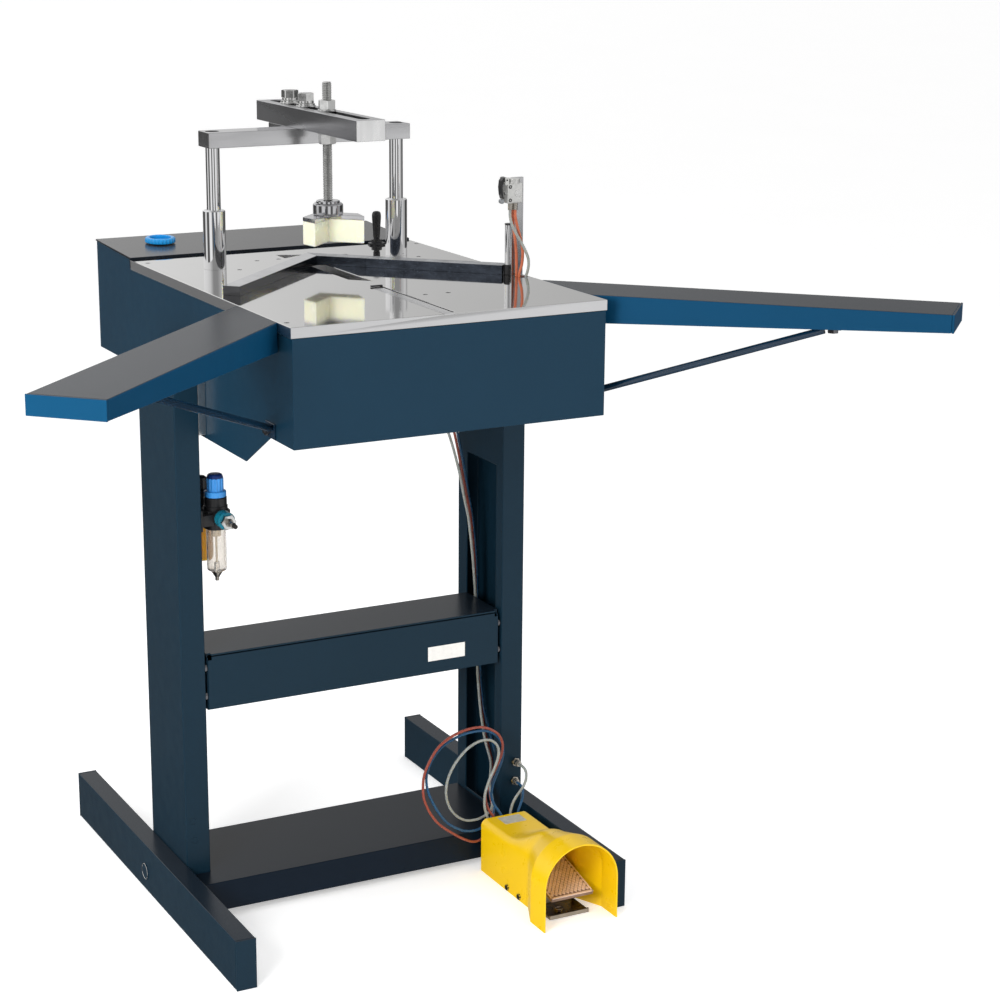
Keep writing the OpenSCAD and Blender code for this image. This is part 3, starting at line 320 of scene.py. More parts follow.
def lathe(prof, n=64, closed=False, rfun=None):
    """Turns (radius, height) points about Z. rfun(angle, i) scales the radius of point i."""
    bm = bmesh.new()
    rings = []
    for i, (r, z) in enumerate(prof):
        if r < 1e-6:
            rings.append([bm.verts.new((0, 0, z))])
        else:
            rings.append([bm.verts.new((r * (rfun(a, i) if rfun else 1) * math.cos(a),
                                        r * (rfun(a, i) if rfun else 1) * math.sin(a), z))
                          for a in (2 * math.pi * k / n for k in range(n))])
    pairs = list(zip(rings, rings[1:])) + ([(rings[-1], rings[0])] if closed else [])
    for a, b in pairs:
        if len(a) == 1 and len(b) == 1:
            continue
        for k in range(n):
            q = (k + 1) % n
            if len(a) == 1:
                bm.faces.new((a[0], b[k], b[q]))
            elif len(b) == 1:
                bm.faces.new((a[k], b[0], a[q]))
            else:
                bm.faces.new((a[k], b[k], b[q], a[q]))
    bmesh.ops.recalc_face_normals(bm, faces=bm.faces)
    return bm


def rod(r, z0, z1, c=.6, n=48, bore=None):
    """Round bar with chamfered ends, or a tube when bore is given."""
    if bore:
        return lathe([(bore, z0), (r - c, z0), (r, z0 + c), (r, z1 - c), (r - c, z1), (bore + c * .5, z1),
                      (bore, z1 - c * .5)], n, closed=True)
    return lathe([(0, z0), (r - c, z0), (r, z0 + c), (r, z1 - c), (r - c, z1), (0, z1)], n)


def hexn(af, z0, z1, rot=0, top=True, bot=False, bore=0):
    """Hexagon head or nut with the corners chamfered as on a turned blank."""
    n, rin = 72, af / 2
    def rr(a):
        b = (a - rad(rot)) % (math.pi / 3) - math.pi / 6
        return rin / math.cos(b)
    bm = bmesh.new()
    A = [2 * math.pi * k / n for k in range(n)]
    k_ = .5
    zt = lambda a: z1 - (max(rr(a) - rin * .985, 0) * k_ if top else 0)
    zb = lambda a: z0 + (max(rr(a) - rin * .985, 0) * k_ if bot else 0)
    ring = lambda f, h: [bm.verts.new((f(a) * math.cos(a), f(a) * math.sin(a), h(a))) for a in A]
    r0 = ring(lambda a: rin * .95, lambda a: z0)
    r1, r2 = ring(rr, zb), ring(rr, zt)
    r3 = ring(lambda a: rin * .95, lambda a: z1)
    rings = [r0, r1, r2, r3]
    if bore:
        rings += [ring(lambda a: bore + .5, lambda a: z1), ring(lambda a: bore, lambda a: z1 - .5),
                  ring(lambda a: bore, lambda a: z0)]
        rings.append(r0)
    for a, b in zip(rings, rings[1:]):
        for k in range(n):
            q = (k + 1) % n
            bm.faces.new((a[k], a[q], b[q], b[k]))
    if not bore:
        bm.faces.new(r3)
        bm.faces.new(list(reversed(r0)))
    return bm


def box(x0, x1, y0, y1, z0, z1, b=.6, seg=2):
    bm = bmesh.new()
    bmesh.ops.create_cube(bm, size=1)
    for v in bm.verts:
        v.co = Vector((x0 + (v.co.x + .5) * (x1 - x0), y0 + (v.co.y + .5) * (y1 - y0), z0 + (v.co.z + .5) * (z1 - z0)))
    if b:
        bmesh.ops.bevel(bm, geom=bm.edges[:], offset=b, segments=seg, profile=.5, affect="EDGES", clamp_overlap=True)
    return bm


def prism(pts, z0, z1, b=.6, seg=2):
    """Outline in X and Y pulled up from z0 to z1, with rounded edges."""
    bm = bmesh.new()
    f = bm.faces.new([bm.verts.new((x, y, z0)) for x, y in pts])
    r = bmesh.ops.extrude_face_region(bm, geom=[f])
    bmesh.ops.translate(bm, vec=(0, 0, z1 - z0), verts=[v for v in r["geom"] if isinstance(v, bmesh.types.BMVert)])
    bmesh.ops.recalc_face_normals(bm, faces=bm.faces)
    if b:
        bmesh.ops.bevel(bm, geom=bm.edges[:], offset=b, segments=seg, profile=.5, affect="EDGES", clamp_overlap=True)
    return bm


def thread(r, z0, z1, pitch=2.0, depth=1.1, n=28, per=6):
    """Threaded bar: a true helix whose crest turns once for each pitch."""
    bm = bmesh.new()
    steps = int((z1 - z0) / pitch * per)
    rings = []
    for i in range(steps + 1):
        z = z0 + (z1 - z0) * i / steps
        end = min(1.0, min(i, steps - i) / per)
        ring = []
        for k in range(n):
            ph = (z / pitch - k / n) % 1.0
            d = depth * abs(2 * ph - 1)
            ring.append(bm.verts.new(((r - d - (1 - end) * .8) * math.cos(2 * math.pi * k / n),
                                      (r - d - (1 - end) * .8) * math.sin(2 * math.pi * k / n), z)))
        rings.append(ring)
    for a, b in zip(rings, rings[1:]):
        for k in range(n):
            bm.faces.new((a[k], a[(k + 1) % n], b[(k + 1) % n], b[k]))
    bm.faces.new(list(reversed(rings[0])))
    bm.faces.new(rings[-1])
    return bm


def refine(node, m, w=.8, seg=2, ang=30, minlen=6, sharp=32, keep=False):
    """A rounded copy of a CAD node in the same place: its flat faces are merged and its long edges get a radius."""
    bm = bmesh.new()
    bm.from_mesh(N[node].data)
    bmesh.ops.remove_doubles(bm, verts=bm.verts, dist=2e-6)
    bmesh.ops.dissolve_limit(bm, angle_limit=rad(.8), verts=bm.verts, edges=bm.edges)
    es = [e for e in bm.edges if len(e.link_faces) == 2 and e.calc_face_angle(0) > rad(ang)
          and e.calc_length() > minlen * .001]
    if es and w:
        bmesh.ops.bevel(bm, geom=es, offset=w * .001, segments=seg, profile=.5, affect="EDGES", clamp_overlap=False)
    bmesh.ops.remove_doubles(bm, verts=bm.verts, dist=2e-6)
    return put(node + ".shape", bm, m, BODY[node], node, sharp=sharp, mm=False)


def paint(node, m):
    """Gives a CAD node its material."""
    me = N[node].data
    me.materials.clear()
    for x in (m if isinstance(m, (list, tuple)) else [m]):
        me.materials.append(x)


# ----------------------------------------------------------------- hoses
ROUTES = {
    "hose_orange": [[196, 400, 684], [196, 400, 668], [206, 400, 632], [218, 400, 576], [226, 400, 537], [233, 400, 500], [240, 400, 430],
        [242, 400, 373], [244, 400, 310], [246, 399, 261], [250, 394, 198], [252, 380, 152], [252, 362, 122], [244, 348, 106], [233, 334, 95],
        [226, 318, 84], [220, 300, 75], [212, 280, 69], [200, 262, 62], [186, 253, 52], [172, 251, 46], [156, 250, 48], [130, 250, 64], [101, 252, 89],
        [84, 255, 121], [83, 260, 148], [92, 265, 172], [114, 268, 200], [147, 270, 215], [184, 272, 217], [211, 274, 204],
        [222, 274, 187], [221, 273, 168], [210, 270, 149], [197, 266, 132], [187, 260, 112], [188, 254, 94], [195, 251, 81], [200, 250, 70]],
    "hose_blue": [[208, 407, 684], [208, 407, 668], [214, 407, 632], [223, 407, 590], [232, 407, 540], [240, 407, 495], [247, 408, 430],
        [250, 408, 373], [252, 408, 310], [254, 407, 261], [258, 403, 200], [262, 391, 160], [262, 375, 136], [259, 359, 121], [249, 346, 110],
        [239, 334, 102], [227, 320, 92], [222, 307, 86], [218, 294, 81], [213, 281, 77], [204, 270, 72], [192, 262, 67], [178, 257, 62], [162, 256, 61],
        [144, 256, 66], [120, 257, 83], [100, 259, 114], [91, 264, 144], [97, 269, 170], [119, 274, 194], [155, 276, 208], [192, 278, 208], [214, 280, 197],
        [226, 281, 179], [226, 279, 160], [217, 276, 141], [206, 271, 124], [200, 265, 108], [201, 259, 96], [206, 253, 86], [210, 250.4, 78], [212, 250, 70]],
    "hose_clear": [[184, 393, 684], [184, 393, 668], [188, 393, 650], [198, 393, 620], [210, 393, 576], [218, 393, 537], [226, 393, 500], [234, 393, 430],
        [238, 393, 373], [240, 393, 310], [241, 391, 261], [244, 386, 198], [245, 372, 152], [245, 354, 126], [237, 338, 113], [226, 320, 101],
        [220, 302, 93], [213, 286, 88], [204, 272, 84], [195, 266, 80], [185, 263, 77], [171, 262, 75], [153, 262, 78], [135, 262, 92], [124, 263, 115],
        [125, 265, 141], [137, 266, 166], [158, 267, 187], [180, 267, 197], [198, 266, 196],
        [209, 265, 186], [211, 264, 172], [204, 262, 154], [193, 259, 136], [184, 255, 117], [181, 251, 99], [185, 250, 82], [188, 250, 70]],
    "hose_post_a": [[261, 290, 138], [261, 280, 138], [260, 270, 136.5], [257, 261, 132.5], [252, 254, 126], [245, 250.4, 117.6], [237, 250, 108.6], [230, 250, 99], [226, 250, 89], [224, 250, 79], [224, 250, 70]],
    "hose_post_b": [[259, 292, 108], [259, 283, 107.6], [257.6, 274, 105.6], [254.4, 266, 101.6], [249.4, 259, 96], [243.6, 254, 89], [239.4, 251.2, 83.6], [237, 250.2, 77.4], [236, 250, 70]],
    "hose_valve_a": [[203.5, 214.5, 994], [203.5, 214.5, 985.5], [207, 214.2, 969.5], [211.5, 212.8, 953], [214.6, 212.3, 935], [214, 213, 918], [211, 214, 906], [210, 214, 896], [210, 214, 884]],
    "hose_valve_b": [[195.5, 214.5, 994], [195.5, 214.5, 985.5], [197, 212.4, 975], [201.4, 209.6, 963.5], [208, 207.2, 951], [214.6, 205.6, 938.5], [219.4, 205.2, 927], [220.8, 206, 917], [220.2, 207.8, 908], [218.6, 209.8, 900], [217.6, 210.6, 893], [217, 211.2, 884]],
    "hose_valve_c": [[203.5, 221.5, 994], [203.5, 221.5, 985.5], [204.5, 221, 969], [206.8, 220.4, 952], [208.6, 220.2, 935], [209.4, 220.4, 919], [209.6, 220.4, 908], [209.6, 220.4, 896], [209.6, 220.4, 884]],
}
HOSE_MAT = {"hose_orange": or_m, "hose_blue": bl_m, "hose_clear": cl_m, "hose_post_a": cl_m, "hose_post_b": bl_m,
            "hose_valve_a": or_v, "hose_valve_b": cl_m, "hose_valve_c": or_v}


def smooth(p, m=6):
    out, n = [], len(p) - 1
    for i in range(n):
        a, b, c, d = (Vector(q) for q in (p[max(i - 1, 0)], p[i], p[i + 1], p[min(i + 2, n)]))
        for k in range(m):
            t = k / m
            out.append(.5 * (2 * b + (c - a) * t + (2 * a - 5 * b + 4 * c - d) * t * t + (3 * b - a - 3 * c + d) * t ** 3))
    return out + [Vector(p[-1])]


for name, route in ROUTES.items():
    pts = [row(*q) for q in smooth(route)]
    cu = bpy.data.curves.new(name + ".hose", "CURVE")
    cu.dimensions = "3D"
    cu.bevel_depth = .002
    cu.bevel_resolution = 4
    cu.use_fill_caps = True
    sp = cu.splines.new("POLY")
    sp.points.add(len(pts) - 1)
    for q, v in zip(sp.points, pts):
        q.co = (*v, 1)
    sp.use_smooth = True
    cu.materials.append(HOSE_MAT[name])
    ho = bpy.data.objects.new(name + ".hose", cu)
    bpy.context.scene.collection.objects.link(ho)
    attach(ho, "stand")
    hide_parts(name)

# ------------------------------------------------------ sheet metal stand
refine("feet", navy, 1.6, 3)
caps = refine("end_plates", navy, .5, 2)
caps.data.materials.append(navy_wing_lit)          # the plates of the wings take the wings' lighter navy, painted light
for p in caps.data.polygons:
    if p.center.z > .5:
        p.material_index = 1
refine("posts", navy, 1.8, 3, minlen=20)
refine("post_shims", zinc_b, .6, 2)
refine("shelf", navy_shaded, 1.4, 3, minlen=20)
refine("tool_box", navy, .7, 2, minlen=10)
refine("drawer", navy, .8, 2, minlen=10)
refine("cabinet", navy_cab_lit, .9, 3, minlen=8)
refine("cabinet_pan", navy_shaded, .5, 2, minlen=20)
refine("rear_cover", cover_m, .6, 2, minlen=20)
refine("wings", navy_wing_lit, 1.5, 3, minlen=12)
refine("struts", strut_m, .6, 2, minlen=8)
paint("frame_bolts", dark_zinc)
# blanking discs of the two unused pipe holes of the left post, and bright zinc rims on the access plugs that make their
# crescent highlight, a painted highlight
bm = bmesh.new()
for x, z in ((-261, 138), (-259, 108)):
    join(bm, lathe([(0, 0), (4.6, 0), (4.95, .35), (4.95, 2.8), (0, 2.8)], 48), T(x, 304.05, z) @ AX_Y)
put("post_blanking_discs", bm, navy, "stand")
bm = bmesh.new()
for s_ in (-1, 1):
    join(bm, lathe([(10.6, 0), (12.3, 0), (12.3, .7), (11.9, 1.1), (11.1, 1.1), (10.6, .7)], 72, closed=True),
         T(s_ * 301.4, 403, 29.5) @ Matrix.Rotation(rad(90 * s_), 4, "Y"))
put("access_plug_highlight_rims", bm, zinc_b, "stand")

# ------------------------------------------------------------------ table
refine("table_plate", plate_m, .7, 2, minlen=16, sharp=30)
refine("fence_left", fence_m, .4, 2)
refine("fence_right", hard_m, .4, 2)
refine("fence_insert", hard_m, .4, 2)
paint("scale_strip", edge_m)

# ticks of the scale are blackened grooves
bm = bmesh.new()
for i in range(21):
    join(bm, box(-14.2, -14.2 + (7.6 if i % 5 == 0 else 4.6), 6 + i * 10, 6.7 + i * 10, 899.55, 899.85, 0))
put("scale_ticks", bm, black_p, "stand", wn=False)

# ------------------------------------------------------------------ clamp
bm = bmesh.new()
for x in (-143, 143):
    join(bm, rod(10, 742, 1091, .7, 96), T(x, 470, 0))
put("guide_rods.turned", bm, chrome, BODY["guide_rods"], "guide_rods")
bm = bmesh.new()
for x in (-143, 143):
    join(bm, lathe([(10.05, 850), (14, 850), (15, 851), (15, 877.5), (24.4, 877.5), (25, 878.1), (25, 885.4), (15, 885.4),
                    (15, 900), (16, 900.1), (16, 982), (15.4, 983), (14.4, 983.5), (11, 983.5), (10.4, 983.1), (10.05, 982)], 96, closed=True),
         T(x, 470, 0))
put("guide_sleeves.turned", bm, chrome, "stand", "guide_sleeves")
refine("yoke", ground, .8, 2)
refine("cross_bar", ground, .7, 2, minlen=8)
bar = refine("slotted_bar", ground_y, .7, 2, minlen=8)
bar.data.materials.append(end_highlight_m)               # the sawn and milled front end face is painted much lighter than the bar, a painted highlight
for p in bar.data.polygons:
    if p.normal.y < -.9 and p.center.y < row(0, 250, 0).y:
        p.material_index = 1
# dark screw socket seen in the end of each guide rod
bm = bmesh.new()
for x in (-143, 143):
    join(bm, lathe([(0, 1091.05), (4.2, 1091.05), (4.6, 1091.4), (8.6, 1091.4), (9.4, 1091.1), (9.4, 1091.0), (0, 1091.0)], 40), T(x, 470, 0))
put("rod_end_screws", bm, black_steel, "crosshead")

bm = bmesh.new()
for y, a in ((468, 10), (526, 32)):
    join(bm, hexn(22, 1131.5, 1142.3, a), T(0, y, 0))
    join(bm, lathe([(0, 1142.2), (7, 1142.2), (7.4, 1142.48), (0, 1142.48)], 32), T(0, y, 0))
    join(bm, lathe([(7, 1122.55), (13.6, 1122.55), (14, 1122.9), (14, 1124.6), (13.6, 1125), (7, 1125)], 56, closed=True), T(0, y, 0))
    join(bm, lathe([(7, 1125), (12.7, 1125), (13, 1125.3), (13, 1127.2), (12.7, 1127.5), (7, 1127.5)], 56, closed=True), T(0, y, 0))
    join(bm, lathe([(7, 1127.7), (11, 1127.7), (11.5, 1128.2), (11.5, 1131), (11, 1131.5), (7, 1131.5)], 56, closed=True), T(0, y, 0))
    join(bm, thread(7, 1080, 1122.4, 2, 1.1), T(0, y, 0))
put("reach_bolts.shape", bm, zinc_b, "crosshead", "reach_bolts")
put("spindle.thread", join(bmesh.new(), thread(7, 984, 1163, 2.4, 1.3, 32, 8), T(0, 394, 0)), zinc, "pad_spindle", "spindle")
bm = bmesh.new()
join(bm, hexn(22, 1125, 1138, 14, True, True, 7.05), T(0, 394, 0))
join(bm, lathe([(7.05, 1122.5), (12.6, 1122.5), (13, 1122.9), (13, 1124.6), (12.6, 1125), (7.05, 1125)], 56, closed=True), T(0, 394, 0))
join(bm, hexn(22, 1077, 1091.5, 25, True, True, 7.05), T(0, 394, 0))
join(bm, lathe([(7.05, 1091.5), (13.6, 1091.5), (14, 1091.9), (14, 1093.6), (13.6, 1094), (7.05, 1094)], 56, closed=True), T(0, 394, 0))
put("spindle_nuts.shape", bm, zinc_b, "reach_bar", "spindle_nuts")
PAD = [(0, 428), (43, 385), (38, 354), (0, 392), (-38, 354), (-43, 385)]
bm = bmesh.new()
join(bm, lathe([(7.05, 984), (7.05, 998), (15.8, 998), (17, 997), (17, 994.4), (19.6, 994.2), (21, 993.2), (21.5, 991.6), (21.5, 979.6), (20.9, 978.4),
                (19.5, 978), (7.05, 978)], 72, closed=True), T(0, 394, 0))
join(bm, prism(PAD, 972, 978, .7, 2))
put("pad_head.turned", bm, mirror_m, "pad_spindle", "pad_head")
put("clamp_pad.cast", prism(PAD, 939, 972, 1.6, 3), pad_m, "pad_spindle", "clamp_pad")
refine("clamp_cylinder", alloy, .4, 2)
refine("clamp_piston", chrome, .3, 2)
refine("carriage_rails", chrome, .3, 2)
refine("nail_carriage", black_steel, .5, 2, minlen=8)
refine("driver_blade", ground, .15, 1, minlen=8)
refine("nail_pusher", zinc, .15, 1, minlen=8)

# --------------------------------------------------- toggle and rear knob
bm = bmesh.new()
flute = lambda a, i: 1 + (.03 * math.cos(8 * a) if 9 <= i <= 13 else 0)
join(bm, lathe([(0, -5), (2.6, -4.3), (4.3, -2.6), (5, 0), (4.7, 1.6), (4.5, 2.3), (4.6, 3.3), (5.2, 4.6), (5.4, 9), (5.6, 14), (6.0, 20), (6.4, 26), (6.9, 32),
                (7.0, 37), (6.7, 40.2), (5.2, 42.9), (2.9, 43.8), (0, 44)], 48, rfun=flute), T(160, 575, 907))
put("lever_grip.boot", bm, black_g, "toggle", "lever_grip", sharp=60)
paint("switch_bases", black_p)
bm = bmesh.new()
join(bm, lathe([(8, 900.05), (13.2, 900.05), (13.8, 900.6), (13.8, 902.2), (13, 903), (8.6, 903.4), (8.4, 906.6), (8, 907)], 6, closed=True),
     T(160, 575, 0, "Z", 18))
put("toggle_nut", bm, black_steel, "stand", wn=True)
bm = bmesh.new()
knurl = lambda a, i: 1 + (.022 * max(-1, min(1, 3 * math.cos(24 * a))) if i in (2, 3, 4) else 0)
join(bm, lathe([(6.05, 1.3), (20.6, 1.3), (22.3, 2.2), (22.5, 4.4), (22.2, 7.8), (20.9, 9.2), (18.6, 9.5), (16.6, 9.1), (16, 8), (16, 4.3), (6.05, 4.0)],
               144, closed=True, rfun=knurl))
bmesh.ops.transform(bm, matrix=T(-146, 690, 907.1, "X", 2.55), verts=bm.verts)
put("rear_knob.shape", bm, blue_r, "rear_knob", "rear_knob", sharp=50)

# --------------------------------------------------------- limit valve
bm = bmesh.new()
join(bm, rod(4, 889.5, 901, .4, 32), T(208, 240, 0), 0)
join(bm, rod(6, 900.05, 970, .5, 64), T(208, 240, 0), 0)
join(bm, lathe([(0, 969.9), (6.2, 969.9), (6.6, 970.4), (6.6, 971), (6.2, 971.5), (0, 971.5)], 56), T(208, 240, 0), 1)
join(bm, lathe([(6.02, 900.1), (6.9, 900.1), (7.3, 900.5), (7.3, 913.4), (6.9, 914), (6.02, 914)], 56, closed=True), T(208, 240, 0), 1)
join(bm, box(204.5, 222.5, 226, 231, 900, 1037, .5, 2), None, 2)
put("valve_stand.shape", bm, [chrome, black_p, ground], "stand", "valve_stand")
bm = bmesh.new()
join(bm, box(189, 212.5, 210, 226, 1003.5, 1031, 1.1, 3), None, 0)
join(bm, lathe([(0, 1030.5), (8.8, 1030.5), (8.8, 1036.3), (8.2, 1037.3), (6.8, 1037.5), (0, 1037.5)], 56), T(201.5, 217, 0), 0)
join(bm, box(190.4, 211.2, 209.7, 210.3, 1005.2, 1029, .25, 1), None, 0)
join(bm, rod(2.5, 0, 3, .5, 24), T(187, 216, 1017) @ AX_X, 1)
for y in (209, 223):
    join(bm, box(185, 191, y, y + 2.5, 1029, 1039.5, .4, 2), None, 0)
join(bm, rod(1.4, 0, 16.5, .2, 20), T(187.5, 209, 1036) @ AX_Y, 1)
for x, z in ((193, 1008), (193, 1026.4)):            # two black screws on the front
    join(bm, lathe([(0, -.2), (1.1, -.2), (1.2, .5), (2.3, .5), (2.5, .2), (2.5, -1), (0, -1)], 28), T(x, 209.7, z) @ Matrix.Rotation(rad(90), 4, "X"), 2)
join(bm, lathe([(0, .6), (2.2, .6), (2.5, .25), (4.6, .25), (5, 0), (5, -1), (0, -1)], 40), T(204.5, 209.7, 1017) @ Matrix.Rotation(rad(90), 4, "X"), 1)
put("valve_body.shape", bm, [cast, zinc_b, black_p], "stand", "valve_body")
bm = bmesh.new()
join(bm, lathe([(1.5, 0), (3.3, 0), (3.6, .3), (3.6, 10.2), (3.3, 10.5), (1.5, 10.5)], 36, closed=True), T(187.5, 212, 1036) @ AX_Y, 0)
arm = [(184, 1036), (187, 1039.4), (184, 1039), (181, 1035), (180, 1026), (181, 1016), (183, 1010), (184.6, 1010), (183.4, 1017), (182.6, 1026), (183.4, 1031)]
tmp = prism([(x, z) for x, z in arm], 0, 9.5, .35, 2)
join(bm, tmp, T(0, 222, 0) @ Matrix.Rotation(rad(90), 4, "X"), 0)
join(bm, rod(3.4, 0, 6, .5, 32), T(182.8, 213.5, 1006.5) @ AX_Y, 1)
put("valve_lever.shape", bm, [black_g, alloy], "roller_lever", "valve_lever")

# ------------------------------------------------- air preparation unit
fx, fy = -205, 330
bm = bmesh.new()
for y, z0, z1, zt, rt in ((fy, 559.5, 593, 604.8, 16), (fy + 56, 552, 593, 602, 16.6)):
    join(bm, lathe([(14.2, z0), (16.4, z0), (17, z0 + .6), (17, z0 + 8), (16.4, z0 + 8.6), (16.4, z1 - 7), (17, z1 - 6.4), (17, z1 - .8), (rt, z1),
                    (rt, zt - .8), (rt - .8, zt), (9.4, zt), (9.4, z0 + 4.4), (14.2, z0 + 3.5)], 64, closed=True), T(fx, y, 0), 0)
join(bm, box(fx - 17, fx + 17, fy - 14, fy + 14, 566, 588, 2.2, 3), None, 0)
join(bm, box(fx - 15, fx + 15, fy + 43, fy + 69, 563, 582, 2.2, 3), None, 0)
join(bm, box(fx - 12, fx + 12, fy + 10, fy + 50, 564, 586, 1.5, 2), None, 0)
join(bm, box(-236, -233, 306, 324, 562, 592, .5, 2), None, 0)
join(bm, box(-233.5, -215, 309, 321, 568, 584, .8, 2), None, 0)
join(bm, rod(10.9, 0, 16, .6, 48), T(fx, fy - 26, 579) @ AX_Y, 0)
join(bm, lathe([(0, 604.6), (10, 604.6), (10, 611.9), (0, 611.9)], 40), T(fx, fy, 0), 1)
join(bm, lathe([(0, 601.9), (9, 601.9), (9, 616), (8, 619.6), (5, 621.7), (0, 622)], 48), T(fx, fy + 56, 0), 4)
for x in (-13, 13):                                  # clamp screws of the module link
    join(bm, rod(2.4, 0, 1.2, .3, 20), T(fx + (12 if x > 0 else -13.2), fy + 30, 575) @ AX_X, 3)
put("frl_body.shape", bm, [black_p, navy_p, amber_m, zinc_b, black_g], "stand", "frl_body")
bm = bmesh.new()
rib = lambda a, i: 1 + (.045 * max(-1, min(1, 2.5 * math.cos(14 * a))) if 6 <= i <= 8 else 0)
join(bm, lathe([(10.05, 604.8), (14.7, 604.8), (15.5, 605.6), (15.5, 612.5), (14.7, 613.3), (11.6, 613.6), (11.5, 615), (11.5, 631), (11.3, 631.6), (11, 634.4),
                (10.2, 636.4), (8.6, 637.3), (6, 637.5), (0, 637.5)], 112, rfun=rib), None, 0)
join(bm, lathe([(0, 612.6), (10.05, 612.6), (10.05, 604.8)], 112), None, 0)
for f in bm.faces:
    c = f.calc_center_median()
    if c.z < 605.4 or c.z > 631.7:
        f.material_index = 1
put("frl_knob.shape", join(bmesh.new(), bm, T(fx, fy, 0)), [blue_p, navy_p], "pressure_knob", "frl_knob", sharp=45)
bm = bmesh.new()
join(bm, lathe([(12.4, 562.9), (12.4, 502.4), (11.6, 501), (4, 501), (4, 498), (12, 498), (13.2, 498.8), (13.9, 501), (14, 506), (14, 562.9)], 64, closed=True), T(fx, fy, 0))
put("frl_bowl.shape", bm, clear_m, "stand", "frl_bowl", sharp=50)
bm = bmesh.new()
join(bm, lathe([(12, 559), (12, 505), (10.4, 502.4), (0, 502), (0, 499), (10.4, 499), (12.8, 501.4), (13.8, 505), (14, 512), (14, 559)], 64), T(fx, fy + 56, 0))
put("frl_oil_bowl.shape", bm, amber_m, "stand", "frl_oil_bowl", sharp=50)
bm = bmesh.new()
C = T(fx, fy - 44, 579) @ AX_Y
join(bm, lathe([(0, 0), (9.4, 0), (9.9, .4), (11.6, .4), (12.5, 1.3), (12.5, 7), (11.7, 7.8), (11.7, 9.2), (12.5, 10), (12.5, 17.2), (11.7, 18), (0, 18)], 72), C.copy(), 0)
join(bm, hexn(19, 0, 8, 0, False, True), T(fx, fy - 52, 579) @ AX_Y, 1)
join(bm, lathe([(0, -32), (2.6, -32), (3.2, -31.4), (3.2, -27.2), (3.2, -24.5)], 32), C.copy(), 3)
join(bm, lathe([(3.2, -24.5), (3.9, -24), (4, -22.5), (3.4, -20.6), (3.3, -19), (4.4, -14), (4.5, -9), (6, -8.2), (6, -7.9), (0, -7.9)], 32), C.copy(), 2)
join(bm, lathe([(0, 482.6), (2.4, 482.6), (2.8, 483.2), (2.8, 487.6), (3.5, 488), (3.6, 488.6), (8, 495.4), (8, 496), (4, 496.6), (4, 510), (0, 510)], 40), T(fx, fy, 0), 2)
join(bm, lathe([(0, 509), (1.6, 509), (1.6, 547.6), (6.4, 548), (7, 548.6), (7, 562.8), (0, 562.8)], 40), T(fx, fy, 0), 4)
put("frl_coupler.shape", bm, [teal_m, zinc_b, nickel, dark_in, element_m], "stand", "frl_coupler", sharp=45)

# -------------------------------------------------------------- foot valve
QX = 212


def guard_ring(y, w, h, arch, e, n=44):
    """Half-open outline of the guard: up the left wall, over the top, down the right wall. y is not used."""
    pts = []
    if arch <= 0:
        raw = [(-w / 2, 0), (-w / 2, h - 7), (-w / 2 + e * .3, h - 3.2), (-w / 2 + e, h), (w / 2 - e, h), (w / 2 - e * .3, h - 3.2), (w / 2, h - 7), (w / 2, 0)]
    else:
        r = w / 2
        zc = h - r
        raw = [(-r, 0), (-r, zc)] + [(-r * math.cos(t), zc + r * math.sin(t)) for t in (math.pi * k / 28 for k in range(1, 28))] + [(r, zc), (r, 0)]
    L = [0]
    for a, b in zip(raw, raw[1:]):
        L.append(L[-1] + math.dist(a, b))
    for k in range(n + 1):
        s = L[-1] * k / n
        i = max(j for j in range(len(raw) - 1) if L[j] <= s + 1e-9)
        u = (s - L[i]) / max(L[i + 1] - L[i], 1e-9)
        pts.append((raw[i][0] + (raw[i + 1][0] - raw[i][0]) * u, raw[i][1] + (raw[i + 1][1] - raw[i][1]) * u))
    return pts


def guard_at(y, n=64):
    """Section of the guard between its flat rear box and its arched hood."""
    A = guard_ring(y, 80, 82, 0, 7, n)
    if y >= 178:
        return A
    B = guard_ring(y, 80, 112, 1, 7, n)
    Cc = guard_ring(y, 119, 123, 1, 7, n)
    D = guard_ring(y, 119.4, 123, 1, 7, n)
    if y >= 98:
        t = (178 - y) / 80
        t = t * t * (3 - 2 * t)
        return [(a[0] + (b[0] - a[0]) * t, a[1] + (b[1] - a[1]) * t) for a, b in zip(A, B)]
    if y >= 56:
        t = (98 - y) / 42
        return [(a[0] + (b[0] - a[0]) * t, a[1] + (b[1] - a[1]) * t) for a, b in zip(B, Cc)]
    t = (56 - y) / 42
    return [(a[0] + (b[0] - a[0]) * t, a[1] + (b[1] - a[1]) * t) for a, b in zip(Cc, D)]


bm = bmesh.new()
ys = [244.8, 243, 236, 222, 208, 196, 186, 178] + [178 - 80 * k / 12 for k in range(1, 13)] + [92, 84, 76, 68, 61, 57.4, 56, 54.6, 50, 40, 30, 20, 14.2]
NG = 64
grid = []
for y in ys:
    sec = guard_at(y, NG)
    grid.append([bm.verts.new((QX + p[0], y, p[1])) for p in sec])
for a, b in zip(grid, grid[1:]):
    for k in range(NG):
        bm.faces.new((a[k], b[k], b[k + 1], a[k + 1]))
bmesh.ops.recalc_face_normals(bm, faces=bm.faces)
me = bpy.data.meshes.new("g")
shell = bm
